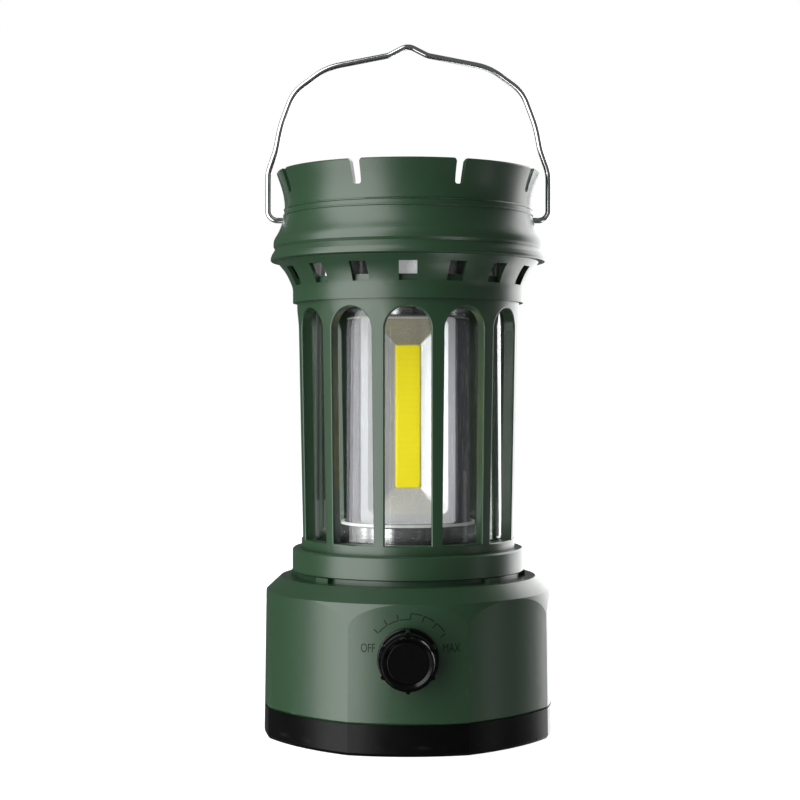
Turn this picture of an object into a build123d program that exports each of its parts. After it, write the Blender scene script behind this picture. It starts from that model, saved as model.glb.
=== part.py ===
from build123d import *
from math import cos, pi, sin
import os

# Camping lantern, in millimetres. The origin is on the lantern's axis, on the surface it
# stands on. +Z is up, -Y is the front (the side with the dimmer knob) and the bail's pivots
# are on the X axis's two sides. Stations along the height are named *_Z or *_BOTTOM/_TOP.

# Base case: an octagon whose eight faces are bowed, under a turned shoulder
CORNER_RADIUS = 52.2
CROWN = 2.67
DRAFT = 0.0145
SHOULDER_Z = 50.8
CASE_TOP = 55.5
WALL = 2.4
FOOT_BOTTOM = 0.3
FOOT_BEVEL_IN = 0.6
FOOT_BEVEL_TOP = 1.3
FOOT_TOP = 10.8
FOOT_WALL = 4.2
FOOT_FLOOR = 3.2
TONGUE_TOP = 13.6
CAVITY_SHELF = 44.0
PLATE_UNDERSIDE = 52.9
SOLE_RADIUS = 38.0
SOLE_THICKNESS = 1.4

# Screws that close the base, and posts that carry the board
BASE_SCREW_CIRCLE = 43.0
BASE_SCREW_ANGLES = (22.5, 157.5, 202.5, 337.5)
SCREW_SEAT_Z = 3.45
BOSS_RADIUS = 3.6
BOSS_BOTTOM = 12.0
BOSS_TOP = 53.5
SCREW_RADIUS = 1.25
PILOT_RADIUS = 1.3
BOARD_Z = 26.0
BOARD_THICKNESS = 1.6
BOARD_SIZE = 64.0
BOARD_POSTS = ((27, 25), (-27, 25), (27, -25), (-27, -25))

# Cells and their tray
CELL_RADIUS = 9.2
CELL_LENGTH = 65.0
CELL_PITCH = 18.7
TRAY_BOTTOM = 3.4
TRAY_FLOOR = 1.4
CELL_Z = TRAY_BOTTOM + TRAY_FLOOR + CELL_RADIUS

# Dimmer, on the front face: stations are distances from the axis towards the front
KNOB_Z = 33.0
POT_BACK = 40.6
POT_RADIUS = 8.0
TRACK_BACK = 41.8
TRACK_THICKNESS = 0.8
WIPER_BACK = 43.4
WIPER_THICKNESS = 1.6
POT_LID = 46.4
PAD_FACE = 47.6
PAD_RADIUS = 9.6
SPOT_FACE = 50.6
SPOT_RADIUS = 6.2
WASHER_THICKNESS = 0.5
NUT_RADIUS = 5.7
BUSH_RADIUS = 3.5
BUSH_LENGTH = 6.4
SHAFT_RADIUS = 3.0
SHAFT_FRONT = 59.8
RUNNING_GAP = 0.05
KNOB_BACK = 51.7
GRIP_BACK = 53.9
GRIP_FRONT = 61.4
KNOB_FRONT = 62.8
SKIRT_RADIUS = 10.3
GRIP_RADIUS = 9.4
GRIP_LOBES = 6
LOBE_RADIUS = 0.75
BEZEL_RADIUS = 9.0
DISH_EDGE_RADIUS = 8.0
DISC_RADIUS = 6.95
DISC_THICKNESS = 0.9
DISC_FRONT = 61.8

# Charging socket, on the back face, and its hinged cover
PORT_Z = 29.25
POCKET_FLOOR = 47.9
POCKET_BOTTOM = 21.7
POCKET_TOP = 36.2
POCKET_WIDTH = 17.0
FLAP_PIN_Y = 49.6
FLAP_PIN_Z = 23.7
FLAP_PIN_RADIUS = 0.7
FLAP_FACE = 50.6
FLAP_TOP = 35.6
FLAP_WIDTH = 16.2
FLAP_THICKNESS = 2.0
HINGE_RADIUS = 1.35
SOCKET_WIDTH = 8.9
SOCKET_HEIGHT = 3.2
SOCKET_LENGTH = 7.8
SOCKET_BACK = 39.0

# Collar and cage
COLLAR_BOTTOM = 57.3
COLLAR_FLOOR = 60.0
COLLAR_TOP = 65.6
COLLAR_RADIUS = 41.6
LUG_ANGLES = (45, 88, 135, 225, 272, 315)
CAGE_TOP = 158.0
CAGE_FOOT_RADIUS = 38.2
CAGE_HEAD_RADIUS = 40.0
CAGE_WALL = 4.0
SLOTS = 12
SLOT_WIDTH = 15.8
SLOT_SILL = 69.0
SLOT_CROWN = 150.6
SLOT_EDGE = 0.5
CHIMNEY_INNER = 32.2
CHIMNEY_OUTER = 33.8
GASKET_INNER = 31.2
CHIMNEY_BOTTOM = 62.0
CHIMNEY_TOP = 155.0

# Light column
TIE_RADIUS = 4.0
TIE_BORE = 4.3
DECK_TOP = 67.0
PEDESTAL_RADIUS = 24.6
PEDESTAL_TOP = 74.1
COLUMN_RADIUS = 23.0
COLUMN_TOP = 148.5
COLUMN_EDGE = 3.0
CHORD = 15.15
FRAME_WIDTH = 35.4
FRAME_HEIGHT = 72.4
FRAME_CENTRE_Z = 111.4
MOUTH_WIDTH = 28.0
MOUTH_HEIGHT = 69.0
SEAT_WIDTH = 9.0
SEAT_HEIGHT = 51.0
POCKET_DEPTH = 5.55
POCKET_CENTRE_Z = 112.7
STRIP_THICKNESS = 1.0
PHOSPHOR_THICKNESS = 0.7
LAMPS = 3

# Head
HEAD_BOTTOM = 153.2
HEAD_TOP = 200.0
LEDGE_BOTTOM = 160.0
LEDGE_TOP = 161.4
VENTS = 16
VENT_WIDTH = 6.2
VENT_BOTTOM = 159.1
VENT_TOP = 165.6
NOTCHES = 8
NOTCH_BOTTOM = 191.6
SINK_TOP = 168.0
FINS = 24
FIN_THICKNESS = 1.2
BLOCK_WIDTH = 9.0
BLOCK_REACH = 36.9
BLOCK_LENGTH = 7.0
SINK_BLOCKS = 4
HEAD_SCREW_CIRCLE = 38.4
HEAD_SCREW_COUNT = 4
HEAD_SCREW_BOTTOM = 154.0

# Upward lamp in the head
DISH_RIM_RADIUS = 38.6
DISH_WALL = 1.6
LENS_RADIUS = 42.1
LENS_BOTTOM = 187.7
LENS_TOP = 189.3
LENS_RING_TOP = 191.2

# Bail
PIVOT_Z = 183.2
WIRE_RADIUS = 1.0
WIRE_END = 40.7
ARM_X = 50.6

os.makedirs("parts", exist_ok=True)


def case_radius(z):
    """Corner radius of the base's outside at height z: it widens a little downwards."""
    return CORNER_RADIUS + DRAFT * (SHOULDER_Z - z)


def crowned_octagon(corner_radius):
    """Face bounded by eight equal arcs, bowed out by CROWN between the corners."""
    middle_radius = corner_radius * cos(pi / 8) + CROWN
    with BuildSketch() as outline:
        with BuildLine():
            for side in range(8):
                middle = side * pi / 4
                start, end = middle - pi / 8, middle + pi / 8
                ThreePointArc(
                    (corner_radius * cos(start), corner_radius * sin(start)),
                    (middle_radius * cos(middle), middle_radius * sin(middle)),
                    (corner_radius * cos(end), corner_radius * sin(end)),
                )
        make_face()
    return outline.sketch


def facing(azimuth, distance=0.0):
    """Upright plane that looks outwards at an azimuth from the front, its Y axis up."""
    a = azimuth * pi / 180
    plane = Plane(origin=(0, 0, 0), x_dir=(cos(a), sin(a), 0), z_dir=(sin(a), -cos(a), 0))
    return plane.offset(distance)


def cage_radius(z):
    """Outside radius of the cage at height z, up to the head."""
    rise = (z - COLLAR_FLOOR) / (HEAD_BOTTOM - COLLAR_FLOOR)
    return CAGE_FOOT_RADIUS + (CAGE_HEAD_RADIUS - CAGE_FOOT_RADIUS) * rise


def tube(inner, outer, bottom, top):
    """Plain ring or washer about the lantern's axis."""
    with BuildPart() as ring:
        with BuildSketch(Plane.XY.offset(bottom)):
            Circle(outer)
            Circle(inner, mode=Mode.SUBTRACT)
        extrude(amount=top - bottom)
    return ring


# ---------------------------------------------------------------- base

# Non-slip sole, let into the underside of the foot
with BuildPart() as rubber_sole:
    with BuildSketch():
        Circle(SOLE_RADIUS)
    extrude(amount=SOLE_THICKNESS)
    chamfer(rubber_sole.faces().sort_by(Axis.Z)[0].edges(), 0.4)
rubber_sole.part.label = "rubber_sole"
export_step(rubber_sole.part, "parts/rubber_sole.step")

# Black foot: a tray with a bevelled lower edge, a tongue inside the shell and screw posts
with BuildPart() as foot_cover:
    with BuildSketch(Plane.XY.offset(FOOT_BOTTOM)):
        add(crowned_octagon(case_radius(FOOT_BEVEL_TOP) - FOOT_BEVEL_IN))
    with BuildSketch(Plane.XY.offset(FOOT_BEVEL_TOP)):
        add(crowned_octagon(case_radius(FOOT_BEVEL_TOP)))
    loft(ruled=True)
    with BuildSketch(Plane.XY.offset(FOOT_BEVEL_TOP)):
        add(crowned_octagon(case_radius(FOOT_BEVEL_TOP)))
    with BuildSketch(Plane.XY.offset(FOOT_TOP)):
        add(crowned_octagon(case_radius(FOOT_TOP)))
    loft(ruled=True)
    with BuildSketch(Plane.XY.offset(FOOT_TOP)):
        add(crowned_octagon(case_radius(FOOT_TOP) - WALL - 0.2))
    extrude(amount=TONGUE_TOP - FOOT_TOP)
    with BuildSketch(Plane.XY.offset(FOOT_FLOOR)):
        add(crowned_octagon(case_radius(FOOT_TOP) - FOOT_WALL))
    extrude(amount=TONGUE_TOP, mode=Mode.SUBTRACT)
    with BuildSketch(Plane.XY.offset(FOOT_BOTTOM)):
        Circle(SOLE_RADIUS + 0.2)
    extrude(amount=SOLE_THICKNESS - FOOT_BOTTOM, mode=Mode.SUBTRACT)
    for angle in BASE_SCREW_ANGLES:
        with BuildSketch(Plane.XY.offset(FOOT_FLOOR - 0.5)):
            with PolarLocations(BASE_SCREW_CIRCLE, 1, start_angle=angle):
                Circle(BOSS_RADIUS)
        extrude(amount=BOSS_BOTTOM - FOOT_FLOOR + 0.4)
        with BuildSketch(Plane.XY.offset(FOOT_BOTTOM)):
            with PolarLocations(BASE_SCREW_CIRCLE, 1, start_angle=angle):
                Circle(1.7)
        extrude(amount=BOSS_BOTTOM, mode=Mode.SUBTRACT)
        with BuildSketch(Plane.XY.offset(FOOT_BOTTOM)):
            with PolarLocations(BASE_SCREW_CIRCLE, 1, start_angle=angle):
                Circle(3.0)
        extrude(amount=SCREW_SEAT_Z - FOOT_BOTTOM, mode=Mode.SUBTRACT)
foot_cover.part.label = "foot_cover"
export_step(foot_cover.part, "parts/foot_cover.step")

# Green case with its turned shoulder, posts, dimmer seat and socket pocket
with BuildPart() as base_shell:
    with BuildSketch(Plane.XY.offset(FOOT_TOP)):
        add(crowned_octagon(case_radius(FOOT_TOP) - 0.5))
    with BuildSketch(Plane.XY.offset(FOOT_TOP + 0.7)):
        add(crowned_octagon(case_radius(FOOT_TOP)))
    loft(ruled=True)
    with BuildSketch(Plane.XY.offset(FOOT_TOP + 0.7)):
        add(crowned_octagon(case_radius(FOOT_TOP)))
    with BuildSketch(Plane.XY.offset(CASE_TOP)):
        add(crowned_octagon(case_radius(CASE_TOP)))
    loft(ruled=True)
    with BuildSketch(Plane.XZ):
        with BuildLine():
            arc_foot = (case_radius(41.9), 41.9)
            corner = (50.9, SHOULDER_Z)
            Polyline((0, FOOT_TOP), (60, FOOT_TOP), (60, 30), arc_foot)
            TangentArc(arc_foot, corner, tangent=(0, 1))
            Polyline(corner, (45.8, CASE_TOP), (0, CASE_TOP), (0, FOOT_TOP))
        make_face()
    revolve(axis=Axis.Z, mode=Mode.INTERSECT)
    with BuildSketch(Plane.XY.offset(FOOT_TOP)):
        add(crowned_octagon(case_radius(FOOT_TOP) - WALL))
    with BuildSketch(Plane.XY.offset(CAVITY_SHELF)):
        add(crowned_octagon(case_radius(CAVITY_SHELF) - WALL))
    loft(ruled=True, mode=Mode.SUBTRACT)
    with BuildSketch(Plane.XZ):
        with BuildLine():
            Polyline(
                (0, CAVITY_SHELF), (48, CAVITY_SHELF), (48, 49.6),
                (44.6, PLATE_UNDERSIDE), (0, PLATE_UNDERSIDE), (0, CAVITY_SHELF),
            )
        make_face()
    revolve(axis=Axis.Z, mode=Mode.SUBTRACT)
    # screw bosses with ribs to the wall
    for angle in BASE_SCREW_ANGLES:
        with BuildSketch(Plane.XY.offset(BOSS_BOTTOM)):
            with PolarLocations(BASE_SCREW_CIRCLE, 1, start_angle=angle):
                Circle(BOSS_RADIUS)
        extrude(amount=BOSS_TOP - BOSS_BOTTOM)
        with BuildSketch(Plane.XY.offset(TONGUE_TOP + 0.4)):
            with PolarLocations(BASE_SCREW_CIRCLE + 4, 1, start_angle=angle):
                Rectangle(7, 2.4)
        extrude(amount=31)
        with BuildSketch(Plane.XY.offset(BOSS_BOTTOM)):
            with PolarLocations(BASE_SCREW_CIRCLE, 1, start_angle=angle):
                Circle(PILOT_RADIUS)
        extrude(amount=14, mode=Mode.SUBTRACT)
    # posts that hang from the top plate and carry the control board
    with BuildSketch(Plane.XY.offset(BOARD_Z + BOARD_THICKNESS)):
        with Locations(*BOARD_POSTS):
            Circle(3)
    extrude(amount=BOSS_TOP - BOARD_Z - BOARD_THICKNESS)
    with BuildSketch(Plane.XY.offset(BOARD_Z + BOARD_THICKNESS)):
        with Locations(*BOARD_POSTS):
            Circle(PILOT_RADIUS)
    extrude(amount=11, mode=Mode.SUBTRACT)
    # seat of the dimmer: a pad inside, a spot face outside and the bush's hole
    with BuildSketch(facing(0, PAD_FACE)):
        with Locations((0, KNOB_Z)):
            Circle(PAD_RADIUS)
    extrude(amount=2)
    with BuildSketch(facing(0, SPOT_FACE)):
        with Locations((0, KNOB_Z)):
            Circle(SPOT_RADIUS)
    extrude(amount=4, mode=Mode.SUBTRACT)
    with BuildSketch(facing(0, PAD_FACE - 1)):
        with Locations((0, KNOB_Z)):
            Circle(BUSH_RADIUS + 0.1)
    extrude(amount=6, mode=Mode.SUBTRACT)
    # housing of the charging socket, with the pocket that its cover lies in
    with BuildSketch(facing(180, 45)):
        with Locations((0, 29)):
            Rectangle(POCKET_WIDTH + 7, 17)
    extrude(amount=4.2)
    with BuildSketch(facing(180, POCKET_FLOOR)):
        with Locations((0, (POCKET_BOTTOM + POCKET_TOP) / 2)):
            RectangleRounded(POCKET_WIDTH, POCKET_TOP - POCKET_BOTTOM, 0.8)
    extrude(amount=6, mode=Mode.SUBTRACT)
    with BuildSketch(facing(180, 44)):
        with Locations((0, PORT_Z)):
            RectangleRounded(SOCKET_WIDTH + 0.5, SOCKET_HEIGHT + 0.5, 1.6)
    extrude(amount=5, mode=Mode.SUBTRACT)
    with BuildSketch(facing(180, SPOT_FACE - 1)):
        with Locations((0, POCKET_TOP)):
            Circle(3)
    extrude(amount=4, mode=Mode.SUBTRACT)
    with BuildSketch(Plane.YZ):
        with Locations((FLAP_PIN_Y, FLAP_PIN_Z)):
            Circle(FLAP_PIN_RADIUS)
    extrude(amount=9.6, both=True, mode=Mode.SUBTRACT)
    # hole for the hollow rod that clamps the column
    with BuildSketch(Plane.XY.offset(PLATE_UNDERSIDE)):
        Circle(TIE_BORE)
    extrude(amount=WALL + 1, mode=Mode.SUBTRACT)
base_shell.part.label = "base_shell"
export_step(base_shell.part, "parts/base_shell.step")

# Screws from below through the foot into the shell
with BuildPart() as base_screws:
    for angle in BASE_SCREW_ANGLES:
        with BuildSketch(Plane.XY.offset(1.4)):
            with PolarLocations(BASE_SCREW_CIRCLE, 1, start_angle=angle):
                Circle(2.7)
                Rectangle(3.6, 0.8, mode=Mode.SUBTRACT)
                Rectangle(0.8, 3.6, mode=Mode.SUBTRACT)
        extrude(amount=1.2)
        with BuildSketch(Plane.XY.offset(2.6)):
            with PolarLocations(BASE_SCREW_CIRCLE, 1, start_angle=angle):
                Circle(2.7)
        extrude(amount=0.8)
        with BuildSketch(Plane.XY.offset(3.4)):
            with PolarLocations(BASE_SCREW_CIRCLE, 1, start_angle=angle):
                Circle(SCREW_RADIUS)
        extrude(amount=18)
base_screws.part.label = "base_screws"
export_step(base_screws.part, "parts/base_screws.step")

# ---------------------------------------------------------------- power

# Tray that holds the three cells
with BuildPart() as battery_tray:
    with BuildSketch(Plane.XY.offset(TRAY_BOTTOM)):
        Rectangle(58.6, 71.2)
    extrude(amount=TRAY_FLOOR)
    with BuildSketch(Plane.XY.offset(TRAY_BOTTOM)):
        with Locations((0, 34.9), (0, -34.9)):
            Rectangle(58.6, 1.4)
        with Locations((28.75, 0), (-28.75, 0)):
            Rectangle(1.1, 71.2)
    extrude(amount=14)
battery_tray.part.label = "battery_tray"
export_step(battery_tray.part, "parts/battery_tray.step")

# Three cells side by side along Y, each with a raised terminal at its front end
with BuildPart() as battery_cells:
    for index in (-1, 0, 1):
        with BuildSketch(facing(0, -CELL_LENGTH / 2)):
            with Locations((index * CELL_PITCH, CELL_Z)):
                Circle(CELL_RADIUS)
        extrude(amount=CELL_LENGTH - 1)
        with BuildSketch(facing(0, -CELL_LENGTH / 2)):
            with Locations((index * CELL_PITCH, CELL_Z)):
                Circle(3)
        extrude(amount=CELL_LENGTH)
battery_cells.part.label = "battery_cells"
export_step(battery_cells.part, "parts/battery_cells.step")

# Contact plates at both ends of each cell
with BuildPart() as cell_contacts:
    for end in (0, 180):
        with BuildSketch(facing(end, 32.9)):
            with Locations(*[(i * CELL_PITCH, CELL_Z - 2) for i in (-1, 0, 1)]):
                Rectangle(9, 13)
        extrude(amount=0.5)
cell_contacts.part.label = "cell_contacts"
export_step(cell_contacts.part, "parts/cell_contacts.step")

# Control board: a square with a tongue that carries the socket
with BuildPart() as control_board:
    with BuildSketch(Plane.XY.offset(BOARD_Z)):
        RectangleRounded(BOARD_SIZE, BOARD_SIZE, 6)
        with Locations((0, 36)):
            Rectangle(16, 17)
        with Locations(*BOARD_POSTS):
            Circle(PILOT_RADIUS, mode=Mode.SUBTRACT)
    extrude(amount=BOARD_THICKNESS)
control_board.part.label = "control_board"
export_step(control_board.part, "parts/control_board.step")

# Chips, coil and capacitors on the board
with BuildPart() as board_components:
    with BuildSketch(Plane.XY.offset(BOARD_Z + BOARD_THICKNESS)):
        with Locations((14, 12)):
            Rectangle(7, 7)
        with Locations((-14, 12)):
            Rectangle(6, 5)
        with Locations((0, -20)):
            Rectangle(12, 4)
    extrude(amount=1.1)
    with BuildSketch(Plane.XY.offset(BOARD_Z + BOARD_THICKNESS)):
        with Locations((-14, -8)):
            RectangleRounded(10, 10, 2)
    extrude(amount=5)
    with BuildSketch(Plane.XY.offset(BOARD_Z + BOARD_THICKNESS)):
        with Locations((14, -8), (14, -17)):
            Circle(4)
    extrude(amount=9)
board_components.part.label = "board_components"
export_step(board_components.part, "parts/board_components.step")

# Screws that hold the board up against its posts
with BuildPart() as board_screws:
    with BuildSketch(Plane.XY.offset(BOARD_Z - 1.5)):
        with Locations(*BOARD_POSTS):
            Circle(2.4)
    extrude(amount=1.5)
    with BuildSketch(Plane.XY.offset(BOARD_Z)):
        with Locations(*BOARD_POSTS):
            Circle(SCREW_RADIUS)
    extrude(amount=10)
board_screws.part.label = "board_screws"
export_step(board_screws.part, "parts/board_screws.step")

# Charging socket: a drawn metal shell with its tongue
with BuildPart() as usb_socket:
    with BuildSketch(facing(180, SOCKET_BACK)):
        with Locations((0, PORT_Z)):
            RectangleRounded(SOCKET_WIDTH, SOCKET_HEIGHT, 1.4)
    extrude(amount=SOCKET_LENGTH)
    with BuildSketch(facing(180, SOCKET_BACK + 2)):
        with Locations((0, PORT_Z)):
            RectangleRounded(SOCKET_WIDTH - 0.6, SOCKET_HEIGHT - 0.6, 1.2)
            Rectangle(6.6, 0.7, mode=Mode.SUBTRACT)
    extrude(amount=SOCKET_LENGTH, mode=Mode.SUBTRACT)
usb_socket.part.label = "usb_socket"
export_step(usb_socket.part, "parts/usb_socket.step")

# Hinged rubber cover of the socket, with its plug and hinge barrel
with BuildPart() as usb_flap:
    with BuildSketch(Plane.YZ):
        with Locations((FLAP_PIN_Y, FLAP_PIN_Z)):
            Circle(HINGE_RADIUS)
        with Locations((FLAP_FACE - FLAP_THICKNESS / 2, (FLAP_PIN_Z + FLAP_TOP) / 2)):
            Rectangle(FLAP_THICKNESS, FLAP_TOP - FLAP_PIN_Z)
        with Locations((FLAP_PIN_Y, FLAP_PIN_Z)):
            Circle(FLAP_PIN_RADIUS + RUNNING_GAP, mode=Mode.SUBTRACT)
    extrude(amount=FLAP_WIDTH / 2, both=True)
    with BuildSketch(facing(180, 47.3)):
        with Locations((0, PORT_Z)):
            RectangleRounded(7.6, 2.4, 1.1)
    extrude(amount=1.5)
usb_flap.part.label = "usb_flap"
export_step(usb_flap.part, "parts/usb_flap.step")

# Pin of the cover's hinge
with BuildPart() as flap_pin:
    with BuildSketch(Plane.YZ):
        with Locations((FLAP_PIN_Y, FLAP_PIN_Z)):
            Circle(FLAP_PIN_RADIUS)
    extrude(amount=9.5, both=True)
flap_pin.part.label = "flap_pin"
export_step(flap_pin.part, "parts/flap_pin.step")

# ---------------------------------------------------------------- dimmer

# Housing of the potentiometer, with room for its wiper
with BuildPart() as pot_housing:
    with BuildSketch(facing(0, POT_BACK)):
        with Locations((0, KNOB_Z)):
            Circle(POT_RADIUS)
    extrude(amount=PAD_FACE - POT_BACK)
    with BuildSketch(facing(0, TRACK_BACK)):
        with Locations((0, KNOB_Z)):
            Circle(POT_RADIUS - 1.4)
    extrude(amount=POT_LID - TRACK_BACK, mode=Mode.SUBTRACT)
    with BuildSketch(facing(0, POT_LID - 1)):
        with Locations((0, KNOB_Z)):
            Circle(SHAFT_RADIUS + RUNNING_GAP)
    extrude(amount=4, mode=Mode.SUBTRACT)
pot_housing.part.label = "pot_housing"
export_step(pot_housing.part, "parts/pot_housing.step")

# Resistive track: most of a ring at the back of the housing
with BuildPart() as pot_track:
    with BuildSketch(facing(0, TRACK_BACK)):
        with Locations((0, KNOB_Z)):
            Circle(POT_RADIUS - 1.6)
            Circle(SHAFT_RADIUS + 0.6, mode=Mode.SUBTRACT)
        with Locations((0, KNOB_Z - 5)):
            Rectangle(2.4, 5, mode=Mode.SUBTRACT)
    extrude(amount=TRACK_THICKNESS)
pot_track.part.label = "pot_track"
export_step(pot_track.part, "parts/pot_track.step")

# Wiper arm on the shaft's inner end
with BuildPart() as pot_wiper:
    with BuildSketch(facing(0, WIPER_BACK)):
        with Locations((0, KNOB_Z)):
            Circle(4.6)
        with Locations((0, KNOB_Z + 4)):
            Rectangle(3, 3.6)
        with Locations((0, KNOB_Z)):
            Circle(SHAFT_RADIUS, mode=Mode.SUBTRACT)
    extrude(amount=WIPER_THICKNESS)
pot_wiper.part.label = "pot_wiper"
export_step(pot_wiper.part, "parts/pot_wiper.step")

# Threaded bush through the case wall
with BuildPart() as pot_bush:
    with BuildSketch(facing(0, PAD_FACE)):
        with Locations((0, KNOB_Z)):
            Circle(BUSH_RADIUS)
            Circle(SHAFT_RADIUS + RUNNING_GAP, mode=Mode.SUBTRACT)
    extrude(amount=BUSH_LENGTH)
pot_bush.part.label = "pot_bush"
export_step(pot_bush.part, "parts/pot_bush.step")

with BuildPart() as pot_washer:
    with BuildSketch(facing(0, SPOT_FACE)):
        with Locations((0, KNOB_Z)):
            Circle(NUT_RADIUS - 0.1)
            Circle(BUSH_RADIUS + 0.1, mode=Mode.SUBTRACT)
    extrude(amount=WASHER_THICKNESS)
pot_washer.part.label = "pot_washer"
export_step(pot_washer.part, "parts/pot_washer.step")

with BuildPart() as pot_nut:
    with BuildSketch(facing(0, SPOT_FACE + WASHER_THICKNESS)):
        with Locations((0, KNOB_Z)):
            RegularPolygon(NUT_RADIUS, 6)
            Circle(BUSH_RADIUS, mode=Mode.SUBTRACT)
    extrude(amount=2)
pot_nut.part.label = "pot_nut"
export_step(pot_nut.part, "parts/pot_nut.step")

with BuildPart() as knob_shaft:
    with BuildSketch(facing(0, WIPER_BACK)):
        with Locations((0, KNOB_Z)):
            Circle(SHAFT_RADIUS)
    extrude(amount=SHAFT_FRONT - WIPER_BACK)
knob_shaft.part.label = "knob_shaft"
export_step(knob_shaft.part, "parts/knob_shaft.step")

# Knob: round skirt, round grip with six lobes, and a front that falls in to a flat disc
with BuildPart() as dimmer_knob:
    with BuildSketch(facing(0, KNOB_BACK)):
        with Locations((0, KNOB_Z)):
            Circle(SKIRT_RADIUS)
    extrude(amount=GRIP_BACK - KNOB_BACK)
    fillet(dimmer_knob.faces().sort_by(Axis.Y)[0].edges(), 0.5)
    with BuildSketch(facing(0, GRIP_BACK)) as grip:
        with Locations((0, KNOB_Z)):
            Circle(GRIP_RADIUS)
            with PolarLocations(GRIP_RADIUS, GRIP_LOBES, start_angle=90):
                Circle(LOBE_RADIUS)
        fillet(grip.vertices(), 0.5)
    extrude(amount=GRIP_FRONT - GRIP_BACK)
    with BuildSketch(facing(0, GRIP_FRONT)):
        with Locations((0, KNOB_Z)):
            Circle(BEZEL_RADIUS)
    extrude(amount=KNOB_FRONT - GRIP_FRONT, taper=22)
    with BuildSketch(Plane.YZ):
        with BuildLine():
            Polyline(
                (-KNOB_FRONT, KNOB_Z), (-KNOB_FRONT, KNOB_Z + DISH_EDGE_RADIUS),
                (-DISC_FRONT, KNOB_Z + DISC_RADIUS + RUNNING_GAP),
                (DISC_THICKNESS - DISC_FRONT, KNOB_Z + DISC_RADIUS + RUNNING_GAP),
                (DISC_THICKNESS - DISC_FRONT, KNOB_Z), (-KNOB_FRONT, KNOB_Z),
            )
        make_face()
    revolve(axis=Axis((0, 0, KNOB_Z), (0, 1, 0)), mode=Mode.SUBTRACT)
    with BuildSketch(facing(0, KNOB_BACK - 1)):
        with Locations((0, KNOB_Z)):
            Circle(6.6)
    extrude(amount=3.9, mode=Mode.SUBTRACT)
    with BuildSketch(facing(0, KNOB_BACK)):
        with Locations((0, KNOB_Z)):
            Circle(SHAFT_RADIUS)
    extrude(amount=SHAFT_FRONT - KNOB_BACK, mode=Mode.SUBTRACT)
dimmer_knob.part.label = "dimmer_knob"
export_step(dimmer_knob.part, "parts/dimmer_knob.step")

# Disc let into the knob's front
with BuildPart() as knob_cap:
    with BuildSketch(facing(0, DISC_FRONT - DISC_THICKNESS)):
        with Locations((0, KNOB_Z)):
            Circle(DISC_RADIUS)
    extrude(amount=DISC_THICKNESS)
    fillet(knob_cap.faces().sort_by(Axis.Y)[0].edges(), 0.3)
knob_cap.part.label = "knob_cap"
export_step(knob_cap.part, "parts/knob_cap.step")

# ---------------------------------------------------------------- collar and cage

# Twist lock between the base and the collar
with BuildPart() as locking_ring:
    with BuildSketch(Plane.XY.offset(CASE_TOP)):
        Circle(40)
        for angle in LUG_ANGLES:
            with PolarLocations(39.5, 1, start_angle=angle - 90):
                Rectangle(5, 6)
        Circle(30, mode=Mode.SUBTRACT)
    extrude(amount=COLLAR_BOTTOM - CASE_TOP)
locking_ring.part.label = "locking_ring"
export_step(locking_ring.part, "parts/locking_ring.step")

# Collar: a shallow cup that the cage stands in
with BuildPart() as collar_ring:
    with BuildSketch(Plane.XZ):
        with BuildLine():
            Polyline(
                (12, COLLAR_BOTTOM), (41.2, COLLAR_BOTTOM), (COLLAR_RADIUS, COLLAR_BOTTOM + 0.4),
                (COLLAR_RADIUS, COLLAR_TOP - 0.6), (41.0, COLLAR_TOP), (38.45, COLLAR_TOP),
                (38.45, COLLAR_FLOOR), (12, COLLAR_FLOOR), (12, COLLAR_BOTTOM),
            )
        make_face()
    revolve(axis=Axis.Z)
collar_ring.part.label = "collar_ring"
export_step(collar_ring.part, "parts/collar_ring.step")

# Cage: slightly conical guard with arched slots and a thick top ring
with BuildPart() as cage:
    with BuildSketch(Plane.XZ):
        with BuildLine():
            Polyline(
                (CAGE_FOOT_RADIUS, COLLAR_FLOOR), (CAGE_HEAD_RADIUS, HEAD_BOTTOM),
                (CAGE_HEAD_RADIUS, CAGE_TOP), (CHIMNEY_OUTER + 0.7, CAGE_TOP), (CHIMNEY_OUTER + 0.7, 153),
                (CAGE_HEAD_RADIUS - CAGE_WALL, 151), (CAGE_FOOT_RADIUS - CAGE_WALL, COLLAR_FLOOR),
                (CAGE_FOOT_RADIUS, COLLAR_FLOOR),
            )
        make_face()
    revolve(axis=Axis.Z)
    for index in range(SLOTS):
        with BuildSketch(facing(index * 360 / SLOTS, 30)):
            arch_centre = SLOT_CROWN - SLOT_WIDTH / 2
            with Locations((0, (SLOT_SILL + arch_centre) / 2)):
                Rectangle(SLOT_WIDTH, arch_centre - SLOT_SILL)
            with Locations((0, arch_centre)):
                Circle(SLOT_WIDTH / 2)
        extrude(amount=14, mode=Mode.SUBTRACT)
    slot_edges = []
    for edge in cage.edges():
        corners = edge.vertices()
        on_outside = all(
            abs((v.X**2 + v.Y**2) ** 0.5 - cage_radius(v.Z)) < 0.02 for v in corners
        )
        if on_outside and SLOT_SILL - 1 < edge.center().Z < SLOT_CROWN + 1:
            slot_edges.append(edge)
    fillet(slot_edges, SLOT_EDGE)
    with BuildSketch(Plane.XY.offset(HEAD_SCREW_BOTTOM - 0.4)):
        with PolarLocations(HEAD_SCREW_CIRCLE, HEAD_SCREW_COUNT, start_angle=45):
            Circle(PILOT_RADIUS)
    extrude(amount=6, mode=Mode.SUBTRACT)
cage.part.label = "cage"
export_step(cage.part, "parts/cage.step")

# Clear tube round the light, between two soft rings
chimney = tube(CHIMNEY_INNER, CHIMNEY_OUTER, CHIMNEY_BOTTOM, CHIMNEY_TOP)
chimney.part.label = "chimney"
export_step(chimney.part, "parts/chimney.step")

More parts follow.
